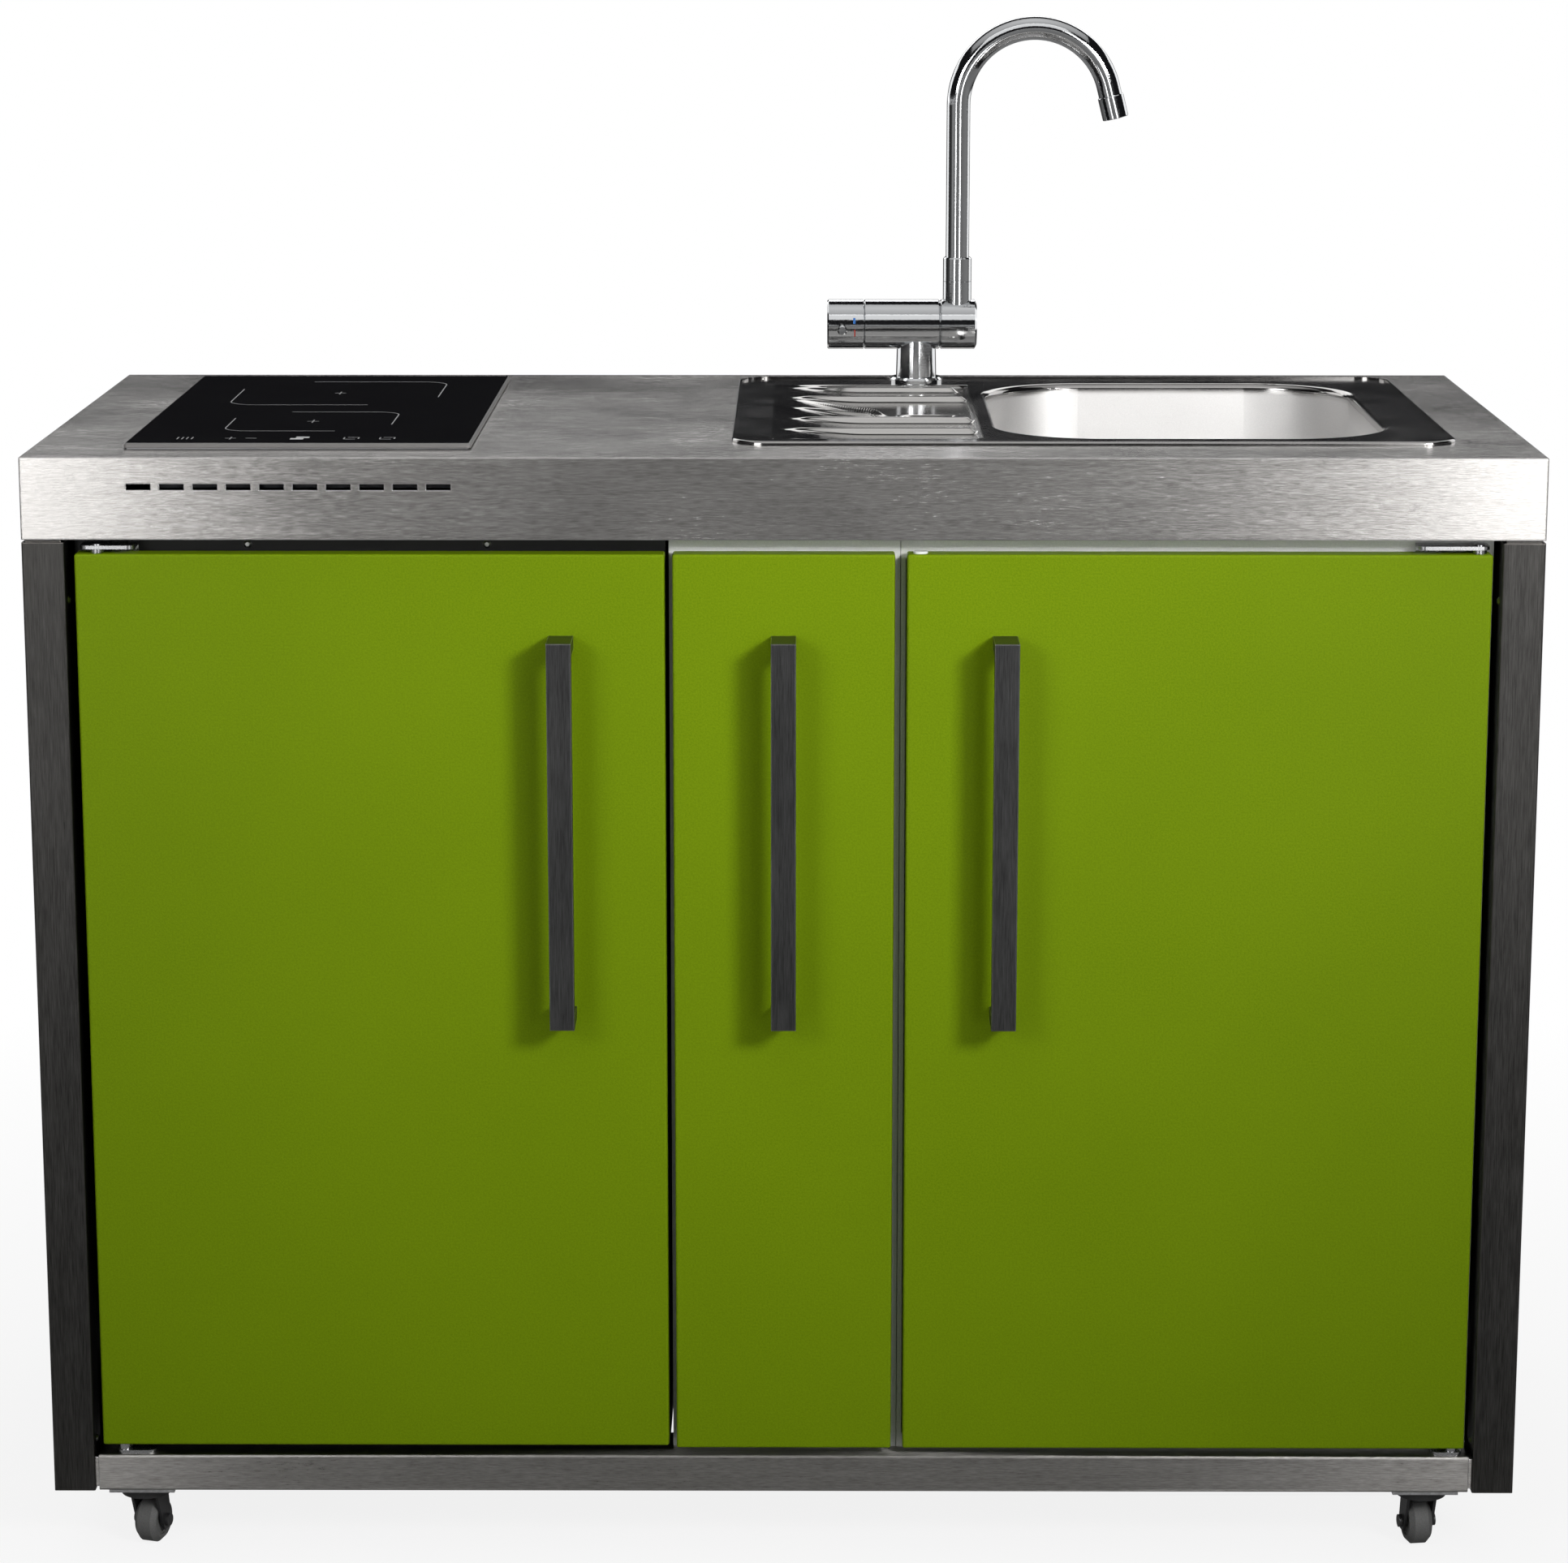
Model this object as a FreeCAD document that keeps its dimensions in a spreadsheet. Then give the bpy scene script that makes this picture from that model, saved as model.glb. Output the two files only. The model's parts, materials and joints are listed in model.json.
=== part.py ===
import FreeCAD, Part
import math
import operator
import os
import types
import PartDesign
import Sketcher

# An outdoor kitchen unit: a stainless worktop with a ceramic hob, a pressed sink and a folding tap,
# carried by four square legs on casters over a refrigerator, a narrow pull-out and a sink cupboard.
# Millimetres, +Z up, +X to the right of someone facing the doors, the doors on the -Y side.
# The origin lies on the floor below the middle of the whole outline, handles included.

sizes = {
    # whole unit
    "worktop_width": 1250.0,
    "worktop_depth": 600.0,
    "worktop_height": 952.0,
    "apron_height": 68.0,
    "worktop_sheet": 1.5,
    "worktop_edge_radius": 1.0,
    "apron_return": 40.0,
    "cut_overrun": 1.0,
    # vent slots in the apron below the hob
    "slot_width": 20.0,
    "slot_height": 5.0,
    "slot_pitch": 27.3,
    "slot_drop": 22.0,
    "slot_inset": 87.5,
    "slot_count": 10,
    # legs
    "leg_width": 35.0,
    "leg_wall": 1.5,
    "leg_corner_radius": 1.5,
    "leg_gap": 2.5,
    "leg_neck_inset": 3.0,
    "leg_plug_depth": 12.0,
    "leg_foot_plug": 4.0,
    "leg_screw_radius": 3.5,
    "leg_screw_head": 1.6,
    "leg_screw_from_top": 50.0,
    "leg_screw_from_rail": 10.0,
    "leg_screw_setback": 15.0,
    "fridge_screw_from_top": 4.0,
    "fridge_screw_from_side": 143.0,
    "fridge_screw_pitch": 198.0,
    # bottom rails
    "rail_height": 32.5,
    "rail_depth": 60.0,
    "rail_wall": 1.5,
    "rail_lip": 16.0,
    "rail_corner_radius": 3.0,
    "rail_end_gap": 3.5,
    "rail_spigot_inset": 3.0,
    # side and back panels
    "panel_sheet": 1.2,
    "side_panel_inset": 3.0,
    "side_panel_fold": 18.0,
    "back_panel_inset": 8.0,
    "louvre_width_share": 0.62,
    "louvre_height": 6.0,
    "louvre_pitch": 22.0,
    "louvre_count": 7,
    "louvre_from_top": 120.0,
    "service_width": 120.0,
    "service_height": 90.0,
    # doors and their places along the front
    "door_thickness": 20.0,
    "door_side_gap": 8.0,
    "door_top_gap": 12.0,
    "door_bottom_gap": 7.0,
    "fridge_door_lift": 2.0,
    "door_edge_radius": 2.0,
    "door_back_margin": 16.0,
    "door_back_recess": 1.2,
    "pull_out_width": 183.0,
    "sink_door_width": 480.0,
    "pull_out_gap": 6.5,
    "sink_door_gap": 10.0,
    # bow handles
    "handle_length": 325.5,
    "handle_width": 20.5,
    "handle_reach": 40.0,
    "handle_bar": 8.0,
    "handle_return": 11.0,
    "handle_inner_radius": 4.0,
    "handle_edge_radius": 0.6,
    "handle_from_top": 67.5,
    "fridge_handle_inset": 85.5,
    "sink_handle_inset": 81.0,
    # sheet steel cases behind the narrow pull-out and behind the sink door
    "case_sheet": 1.5,
    "case_hem": 4.0,
    "case_gap": 5.0,
    "case_depth": 525.0,
    "case_seam": 0.6,
    "case_side_lap": 3.5,
    "case_top_flange": 16.0,
    "case_lip": 1.5,
    "case_lip_inset": 9.0,
    "case_bottom_flange": 12.0,
    "case_front_shelf": 56.0,
    "case_back_shelf": 18.0,
    "door_cap_radius": 6.0,
    "door_cap_height": 2.0,
    "door_cap_inset": 11.0,
    # refrigerator
    "case_side_gap": 4.0,
    "fridge_top_gap": 1.5,
    "fridge_front_gap": 11.0,
    "fridge_depth": 515.0,
    "fridge_wall": 35.0,
    "fridge_back_wall": 40.0,
    "fridge_hump_height": 190.0,
    "fridge_hump_depth": 150.0,
    "fridge_niche_side": 26.0,
    "fridge_niche_floor": 4.0,
    "liner_wall": 2.5,
    "liner_ledge": 7.0,
    "liner_ledge_height": 5.0,
    "shelf_thickness": 5.0,
    "shelf_clearance": 0.5,
    "shelf_setback": 48.0,
    "shelf_back_gap": 6.0,
    "shelf_lower_height": 250.0,
    "shelf_pitch": 175.0,
    "shelf_trim_height": 9.0,
    "shelf_trim_depth": 8.0,
    "evaporator_width_share": 0.81,
    "evaporator_height": 130.0,
    "evaporator_sheet": 1.5,
    "evaporator_from_top": 30.0,
    "evaporator_channel": 9.0,
    "evaporator_channel_height": 3.0,
    "evaporator_run_count": 4,
    "knob_radius": 18.0,
    "knob_height": 14.0,
    "knob_edge_radius": 1.2,
    "knob_grip_inset": 1.5,
    "knob_grip_width": 6.0,
    "knob_grip_height": 6.0,
    "knob_from_front": 80.0,
    "knob_from_top": 45.0,
    "knob_spindle_radius": 3.0,
    "knob_spindle_length": 10.0,
    "spindle_clearance": 0.05,
    "knob_gap": 0.3,
    "compressor_radius": 58.0,
    "compressor_height": 135.0,
    "compressor_waist_share": 0.55,
    "compressor_flange": 4.0,
    "compressor_crown": 22.0,
    "compressor_foot": 6.0,
    "compressor_foot_width": 150.0,
    "compressor_foot_depth": 100.0,
    "condenser_tube_radius": 2.5,
    "condenser_bend_radius": 22.0,
    "condenser_run_share": 0.675,
    "condenser_run_count": 7,
    "condenser_from_top": 150.0,
    "condenser_strip_width": 3.0,
    "condenser_strip_count": 6,
    "condenser_strip_overhang": 12.0,
    # refrigerator door inner parts
    "seal_inset": 23.5,
    "seal_width": 12.0,
    "seal_gap": 0.3,
    "seal_groove_depth": 3.0,
    "seal_groove_width": 4.0,
    "door_liner_inset": 44.0,
    "door_liner_wall": 3.0,
    "door_dyke_depth": 34.0,
    "door_dyke_width": 12.0,
    "bin_lip_height": 55.0,
    "bin_lower_height": 24.0,
    "bin_upper_height": 390.0,
    # pivot hinges at the top and bottom of the two swinging doors
    "pivot_radius": 4.0,
    "pivot_clearance": 0.05,
    "pivot_depth": 12.0,
    "pivot_front_inset": 10.0,
    "fridge_pivot_inset": 17.5,
    "sink_pivot_inset": 10.0,
    "hinge_plate": 3.0,
    "hinge_front_inset": 3.0,
    "hinge_top_lift": 3.6,
    "fridge_hinge_length": 45.0,
    "fridge_hinge_overhang": 13.5,
    "sink_hinge_length": 59.0,
    "sink_hinge_overhang": 8.0,
    "hinge_tab_width": 22.0,
    "hinge_tab_height": 9.0,
    "hinge_tab_sheet": 2.0,
    "hinge_corner_radius": 6.0,
    "hinge_collar_radius": 6.0,
    "hinge_gap": 0.3,
    "hinge_rivet": 0.8,
    "fridge_foot_length": 33.0,
    "fridge_foot_overhang": 6.5,
    "sink_foot_length": 26.0,
    "sink_foot_overhang": 9.0,
    "hinge_foot_depth": 22.0,
    # pull-out runners and baskets
    "slide_height": 45.0,
    "slide_width": 12.5,
    "slide_wall": 1.5,
    "slide_lip": 9.0,
    "slide_bar_inset": 6.0,
    "slide_clearance": 0.4,
    "slide_packer": 3.0,
    "slide_length": 450.0,
    "slide_setback": 6.0,
    "slide_from_bottom": 60.0,
    "basket_sheet": 1.2,
    "basket_height": 80.0,
    "basket_floor_drop": 20.0,
    "basket_upper_lift": 330.0,
    "basket_depth": 430.0,
    "basket_post_width": 30.0,
    "basket_slot_height": 22.0,
    "basket_slot_count": 3,
    "basket_slot_gap": 12.0,
    # sink
    "sink_width_share": 0.4864,
    "sink_back": 38.0,
    "sink_right": 61.0,
    "sink_front": 80.0,
    "sink_sheet": 1.0,
    "sink_corner_radius": 30.0,
    "sink_bead_height": 3.0,
    "sink_bead_width": 3.3,
    "sink_bead_radius": 2.0,
    "sink_cutout_inset": 11.0,
    "bowl_width_share": 0.55,
    "bowl_depth_share": 0.8257,
    "bowl_height": 150.0,
    "bowl_right_inset": 47.8,
    "bowl_back_inset": 44.0,
    "bowl_corner_radius": 90.0,
    "bowl_draft": 5.3,
    "bowl_floor_radius": 28.0,
    "bowl_rim_radius": 5.0,
    "drainer_left_inset": 34.0,
    "drainer_front_inset": 34.0,
    "drainer_back_inset": 55.0,
    "drainer_bowl_gap": 14.0,
    "drainer_sink": 6.0,
    "drainer_corner_radius": 14.0,
    "rib_width": 7.0,
    "rib_height": 4.0,
    "rib_end_gap": 9.0,
    "rib_front_place": 95.0,
    "rib_middle_place": 171.0,
    "rib_back_place": 326.0,
    "slant_rib_width": 5.0,
    "slant_rib_height": 2.0,
    "channel_left_share": 0.444,
    "channel_front": 183.0,
    "channel_width_share": 0.242,
    "channel_length": 44.0,
    "channel_depth": 4.0,
    # waste fitting
    "waste_radius": 41.0,
    "waste_seat_depth": 4.0,
    "waste_seat_width": 3.4,
    "waste_throat_radius": 34.0,
    "waste_throat_depth": 30.0,
    "waste_wall": 2.5,
    "waste_flange": 2.0,
    "waste_clearance": 0.4,
    "waste_tail_radius": 20.0,
    "waste_tail_length": 40.0,
    "strainer_thickness": 2.0,
    "strainer_hole_radius": 2.5,
    "strainer_hole_ring": 21.0,
    "strainer_hole_count": 8,
    "strainer_knob_radius": 7.0,
    "strainer_knob_height": 16.0,
    "strainer_knob_edge": 1.5,
    "strainer_lift": 0.3,
    "trap_cup_radius": 34.0,
    "trap_cup_height": 95.0,
    "trap_cup_wall": 3.0,
    "trap_neck_radius": 27.0,
    "trap_neck_height": 22.0,
    "trap_neck_lift": 12.0,
    "trap_outlet_drop": 26.0,
    "trap_pipe_radius": 18.0,
    "trap_outlet_radius": 16.0,
    "trap_outlet_length": 36.0,
    "trap_outlet_inset": 2.0,
    # tap
    "tap_bowl_gap": 60.3,
    "tap_back_inset": 28.0,
    "tap_flange_radius": 24.5,
    "tap_flange_height": 5.5,
    "tap_flange_edge": 2.0,
    "tap_column_top_radius": 17.5,
    "tap_column_foot_radius": 18.8,
    "tap_axis_height": 54.0,
    "tap_cylinder_radius": 23.0,
    "tap_body_left": 49.0,
    "tap_body_right": 21.5,
    "tap_seam": 0.4,
    "tap_edge_radius": 1.2,
    "tap_dome_radius": 18.5,
    "tap_stem_radius": 4.5,
    "tap_stem_length": 11.5,
    "tap_stem_depth": 9.0,
    "tap_cap_length": 34.0,
    "tap_cap_wall": 3.0,
    "tap_cap_relief": 7.0,
    "tap_lever_radius": 4.4,
    "tap_lever_root_radius": 3.2,
    "tap_lever_length": 38.0,
    "tap_lever_setback": 13.5,
    "tap_lever_depth": 2.4,
    "tap_lever_edge": 1.0,
    "tap_fold_length": 34.0,
    "tap_fold_crown": 2.0,
    "tap_spigot_radius": 10.0,
    "tap_spigot_length": 22.0,
    "tap_fit_clearance": 0.05,
    "spout_offset": 15.8,
    "spout_socket_radius": 13.2,
    "spout_socket_height": 40.0,
    "spout_sleeve_height": 22.0,
    "spout_tail_radius": 8.0,
    "spout_tail_length": 16.0,
    "spout_tube_radius": 10.8,
    "spout_rise": 140.0,
    "spout_bend_radius": 70.0,
    "spout_bend_angle": 166.0,
    "spout_nose": 15.0,
    "aerator_radius": 12.0,
    "aerator_length": 21.0,
    "aerator_recess": 2.0,
    "aerator_rim": 2.5,
    "aerator_edge": 0.6,
    "aerator_lap": 6.0,
    "tap_shank_radius": 15.0,
    "tap_shank_length": 46.0,
    "tap_hole_radius": 17.0,
    "tap_washer_radius": 26.0,
    "tap_washer_thickness": 3.0,
    "tap_nut_radius": 21.0,
    "tap_nut_height": 12.0,
    # hob
    "hob_width_share": 0.2304,
    "hob_back": 53.0,
    "hob_left": 78.0,
    "hob_front": 52.0,
    "hob_glass": 4.0,
    "hob_glass_bevel": 1.6,
    "hob_corner_radius": 3.0,
    "hob_seal": 1.0,
    "hob_seal_inset": 2.5,
    "hob_cutout_inset": 11.0,
    "hob_box_clearance": 3.0,
    "hob_box_height": 48.0,
    "hob_box_chamfer": 14.0,
    # casters
    "caster_height": 60.0,
    "caster_side_inset": 74.5,
    "caster_front_inset": 30.0,
    "caster_plate_width": 56.0,
    "caster_plate": 2.5,
    "kingpin_radius": 5.0,
    "kingpin_clearance": 0.05,
    "kingpin_head_radius": 8.0,
    "kingpin_head": 2.5,
    "swivel_gap": 0.3,
    "swivel_ring_radius": 21.5,
    "swivel_ring_height": 8.0,
    "swivel_ring_edge": 2.5,
    "fork_sheet": 2.5,
    "fork_clearance": 0.6,
    "fork_foot_radius": 8.0,
    "caster_trail": 11.0,
    "wheel_radius": 20.0,
    "wheel_width": 20.0,
    "wheel_edge_radius": 4.0,
    "wheel_hub_radius": 13.0,
    "wheel_hub_recess": 2.0,
    "axle_radius": 3.0,
    "axle_clearance": 0.05,
    "axle_head_radius": 5.5,
    "axle_head": 3.0,
    "caster_angle_front_left": -18.0,
    "caster_angle_front_right": 8.0,
    "caster_angle_back_left": 168.0,
    "caster_angle_back_right": 195.0,
}

doc = FreeCAD.newDocument("OutdoorKitchen")
sheet = doc.addObject("Spreadsheet::Sheet", "Sizes")
for row, (alias, number) in enumerate(sizes.items(), start=1):
    sheet.set(f"A{row}", alias)
    sheet.set(f"B{row}", str(number))
    sheet.setAlias(f"B{row}", alias)
doc.recompute()


class Size:
    # A size keeps its number together with the formula over the sheet that gives it.
    def __init__(self, text, value):
        self.text = text
        self.value = value

    def __add__(self, other):
        return combine(self, "+", other)

    def __radd__(self, other):
        return combine(other, "+", self)

    def __sub__(self, other):
        return combine(self, "-", other)

    def __rsub__(self, other):
        return combine(other, "-", self)

    def __mul__(self, other):
        return combine(self, "*", other)

    def __rmul__(self, other):
        return combine(other, "*", self)

    def __truediv__(self, other):
        return combine(self, "/", other)

    def __neg__(self):
        return combine(zero, "-", self)


operations = {"+": operator.add, "-": operator.sub, "*": operator.mul, "/": operator.truediv}


def as_size(entry):
    return entry if isinstance(entry, Size) else Size(repr(entry), entry)


def combine(left, sign, right):
    left = as_size(left)
    right = as_size(right)
    return Size(f"({left.text} {sign} {right.text})", operations[sign](left.value, right.value))


def sine(angle):
    return Size(f"sin({angle.text} * 1 deg)", math.sin(math.radians(angle.value)))


def cosine(angle):
    return Size(f"cos({angle.text} * 1 deg)", math.cos(math.radians(angle.value)))


zero = Size("0", 0)
size = types.SimpleNamespace(**{alias: Size(f"Sizes.{alias}", float(sheet.get(alias))) for alias in sizes})
pieces = []
x_axis = FreeCAD.Vector(1, 0, 0)
y_axis = FreeCAD.Vector(0, 1, 0)
z_axis = FreeCAD.Vector(0, 0, 1)
near = 1e-4

# Shared planes and lines of the unit
half = size.worktop_width / 2
front = size.handle_reach / 2 - size.worktop_depth / 2
back = front + size.worktop_depth
leg_inner = half - size.leg_width
rail_top = size.caster_height + size.rail_height
apron_bottom = size.worktop_height - size.apron_height
leg_top = apron_bottom - size.leg_gap
door_top = apron_bottom - size.door_top_gap
door_bottom = rail_top + size.door_bottom_gap
fridge_door_bottom = door_bottom + size.fridge_door_lift
door_back = front + size.door_thickness
door_seat = door_back - size.door_back_recess
case_front = door_back + size.case_gap
case_back = case_front + size.case_depth
fridge_front = door_back + size.fridge_front_gap
fridge_back = fridge_front + size.fridge_depth
fridge_top = leg_top - size.fridge_top_gap
fridge_door_left = size.door_side_gap - leg_inner
sink_door_right = leg_inner - size.door_side_gap
sink_door_left = sink_door_right - size.sink_door_width
pull_out_right = sink_door_left - size.sink_door_gap
pull_out_left = pull_out_right - size.pull_out_width
fridge_door_right = pull_out_left - size.pull_out_gap
pull_out_case_left = pull_out_left - size.case_side_lap
cases_middle = (pull_out_right + sink_door_left) / 2
pull_out_case_right = cases_middle - size.case_seam / 2
sink_case_left = cases_middle + size.case_seam / 2
fridge_case_left = size.case_side_gap - leg_inner
fridge_case_right = fridge_door_right
sink_case_right = leg_inner - size.case_side_gap
pivot_y = front + size.pivot_front_inset
fridge_pivot_x = fridge_door_left + size.fridge_pivot_inset
sink_pivot_x = sink_door_right - size.sink_pivot_inset
liner_left = fridge_case_left + size.fridge_wall + size.liner_wall
liner_right = fridge_case_right - size.fridge_wall - size.liner_wall
liner_deep = fridge_back - size.fridge_back_wall - size.liner_wall
liner_high = fridge_top - size.fridge_wall - size.liner_wall
shelf_front = fridge_front + size.shelf_setback
shelf_levels = [rail_top + size.shelf_lower_height + size.shelf_pitch * step for step in range(2)]
knob_wall = fridge_case_right - size.fridge_wall
knob_y = fridge_front + size.knob_from_front
knob_z = liner_high - size.knob_from_top
sink_width = size.worktop_width * size.sink_width_share
sink_x = half - size.sink_right - sink_width
sink_depth = size.worktop_depth - size.sink_front - size.sink_back
sink_y = front + size.sink_front
deck = size.worktop_height + size.sink_sheet
bowl_width = sink_width * size.bowl_width_share
bowl_left = sink_width - size.bowl_right_inset - bowl_width
bowl_x = sink_x + bowl_left
bowl_depth = sink_depth * size.bowl_depth_share
bowl_y = sink_y + sink_depth - size.bowl_back_inset - bowl_depth
waste_x = bowl_x + bowl_width / 2
waste_y = bowl_y + bowl_depth / 2
bowl_floor = deck - size.bowl_height + size.sink_sheet
tail_low = bowl_floor - size.waste_throat_depth - size.waste_tail_length
cup_high = tail_low + size.trap_neck_lift
outlet_z = cup_high - size.trap_outlet_drop
service_x = (waste_x - size.service_width / 2, waste_x + size.service_width / 2)
service_z = (outlet_z - size.service_height / 2, outlet_z + size.service_height / 2)
tap_left = bowl_left - size.tap_bowl_gap
tap_x = sink_x + tap_left
tap_y = sink_y + sink_depth - size.tap_back_inset
tap_axis_z = deck + size.tap_axis_height
fold_x = tap_x + size.tap_body_right + size.tap_seam
spout_x = fold_x + size.spout_offset
spout_z = tap_axis_z + size.spout_socket_height + size.tap_seam
hob_width = size.worktop_width * size.hob_width_share
hob_x = size.hob_left - half
hob_depth = size.worktop_depth - size.hob_front - size.hob_back
hob_y = front + size.hob_front


def bind(target, formulas):
    for name, entry in formulas.items():
        target.setExpression(name, as_size(entry).text)


def place(target, x, y, z):
    bind(target, {"Placement.Base.x": x, "Placement.Base.y": y, "Placement.Base.z": z})


def keep(target, label):
    target.Label = label
    pieces.append(target)
    return target


# Part primitives and booleans

def box(label, x_range, y_range, z_range):
    block = doc.addObject("Part::Box", label)
    bind(block, {
        "Length": x_range[1] - x_range[0],
        "Width": y_range[1] - y_range[0],
        "Height": z_range[1] - z_range[0],
    })
    place(block, x_range[0], y_range[0], z_range[0])
    return block


def rod(label, direction, start, radius, length):
    bar = doc.addObject("Part::Cylinder", label)
    bind(bar, {"Radius": radius, "Height": length})
    bar.Placement = FreeCAD.Placement(FreeCAD.Vector(), FreeCAD.Rotation(z_axis, direction))
    place(bar, *start)
    return bar


def cone(label, direction, start, first_radius, last_radius, length):
    bar = doc.addObject("Part::Cone", label)
    bind(bar, {"Radius1": first_radius, "Radius2": last_radius, "Height": length})
    bar.Placement = FreeCAD.Placement(FreeCAD.Vector(), FreeCAD.Rotation(z_axis, direction))
    place(bar, *start)
    return bar


def ball(label, centre, radius):
    sphere = doc.addObject("Part::Sphere", label)
    bind(sphere, {"Radius": radius})
    place(sphere, *centre)
    return sphere


def join(label, *shapes):
    joined = doc.addObject("Part::MultiFuse", label)
    joined.Shapes = list(shapes)
    joined.Refine = True
    return joined


def cut(label, base, *tools):
    result = doc.addObject("Part::Cut", label)
    result.Base = base
    result.Tool = tools[0] if len(tools) == 1 else join(label + "_tools", *tools)
    result.Refine = True
    return result


def group(label, *shapes):
    together = doc.addObject("Part::Compound", label)
    together.Links = list(shapes)
    return keep(together, label)


# Bodies with sketched features

def new_plain_body(label, x=zero, y=zero, z=zero, rotation=FreeCAD.Rotation()):
    body = doc.addObject("PartDesign::Body", label)
    body.Placement = FreeCAD.Placement(FreeCAD.Vector(), rotation)
    place(body, x, y, z)
    return body


def new_body(label, x=zero, y=zero, z=zero, rotation=FreeCAD.Rotation()):
    return keep(new_plain_body(label, x, y, z, rotation), label)


def new_sketch(body, role, offset=zero):
    sketch = body.newObject("Sketcher::SketchObject", body.Name + "_sketch")
    plane = next(feature for feature in body.Origin.OriginFeatures if feature.Role == role)
    sketch.AttachmentSupport = [(plane, "")]
    sketch.MapMode = "FlatFace"
    bind(sketch, {"AttachmentOffset.Base.z": offset})
    return sketch


def fix(sketch, kind, element, end, entry):
    index = sketch.addConstraint(Sketcher.Constraint(kind, -1, 1, element, end, entry.value))
    bind(sketch, {f"Constraints[{index}]": entry})


def draw(sketch, *corners):
    # a closed outline whose corners are held by their distances from the sketch origin
    first = sketch.GeometryCount
    corners = [(as_size(x), as_size(y)) for x, y in corners]
    points = [FreeCAD.Vector(x.value, y.value, 0) for x, y in corners]
    for start, end in zip(points, points[1:] + points[:1]):
        sketch.addGeometry(Part.LineSegment(start, end))
    for step in range(len(points)):
        following = first + (step + 1) % len(points)
        sketch.addConstraint(Sketcher.Constraint("Coincident", first + step, 2, following, 1))
    for step, (x, y) in enumerate(corners):
        fix(sketch, "DistanceX", first + step, 1, x)
        fix(sketch, "DistanceY", first + step, 1, y)
    return sketch


def rectangle(sketch, x_range, y_range):
    (left, right), (low, high) = x_range, y_range
    return draw(sketch, (left, low), (right, low), (right, high), (left, high))


def circle(sketch, x, y, radius):
    x, y = as_size(x), as_size(y)
    centre = FreeCAD.Vector(x.value, y.value, 0)
    element = sketch.addGeometry(Part.Circle(centre, FreeCAD.Vector(0, 0, 1), radius.value))
    fix(sketch, "DistanceX", element, 3, x)
    fix(sketch, "DistanceY", element, 3, y)
    index = sketch.addConstraint(Sketcher.Constraint("Radius", element, radius.value))
    bind(sketch, {f"Constraints[{index}]": radius})
    return sketch


def pad(body, sketch, length, reverse=False):
    feature = body.newObject("PartDesign::Pad", body.Name + "_pad")
    feature.Profile = sketch
    feature.Reversed = reverse
    bind(feature, {"Length": length})
    return feature


def less_material(body, feature, before):
    doc.recompute()
    if not feature.Shape.Volume < before - near:
        raise ValueError(f"{feature.Name} of {body.Label} cuts nothing")
    return feature


def pocket(body, sketch, depth, forward=False):
    # forward cuts along the sketch's normal, otherwise against it
    doc.recompute()
    before = body.Tip.Shape.Volume
    feature = body.newObject("PartDesign::Pocket", body.Name + "_pocket")
    feature.Profile = sketch
    feature.Reversed = forward
    bind(feature, {"Length": depth})
    return less_material(body, feature, before)


def revolve(body, sketch, axis="V_Axis"):
    feature = body.newObject("PartDesign::Revolution", body.Name + "_revolution")
    feature.Profile = sketch
    feature.ReferenceAxis = (sketch, [axis])
    feature.Angle = 360
    return feature


def row(body, original, sketch, axis, pitch, count):
    feature = body.newObject("PartDesign::LinearPattern", body.Name + "_row")
    feature.Originals = [original]
    feature.Direction = (sketch, [axis])
    bind(feature, {"Length": pitch * (count - 1), "Occurrences": count})
    body.Tip = feature
    return feature


def ring(body, original, sketch, count):
    feature = body.newObject("PartDesign::PolarPattern", body.Name + "_ring")
    feature.Originals = [original]
    feature.Axis = (sketch, ["N_Axis"])
    feature.Angle = 360
    bind(feature, {"Occurrences": count})
    body.Tip = feature
    return feature


def soften(body, radius, chosen, kind="Fillet"):
    doc.recompute()
    base = body.Tip
    names = [f"Edge{index}" for index, edge in enumerate(base.Shape.Edges, start=1) if chosen(edge)]
    feature = body.newObject("PartDesign::" + kind, body.Name + "_" + kind.lower())
    feature.Base = (base, names)
    bind(feature, {"Radius" if kind == "Fillet" else "Size": radius})
    doc.recompute()
    return feature


def along(axis):
    # picks the straight edges that run along one axis of the body
    lengths = {"x": ("YLength", "ZLength"), "y": ("XLength", "ZLength"), "z": ("XLength", "YLength")}[axis]
    return lambda edge: all(getattr(edge.BoundBox, name) < near for name in lengths)


def at_height(level):
    z = level.value
    return lambda edge: abs(edge.BoundBox.ZMin - z) < near and abs(edge.BoundBox.ZMax - z) < near


# Worktop: one folded sheet with deep aprons, returns below them, and openings for hob, sink and slots

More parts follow.
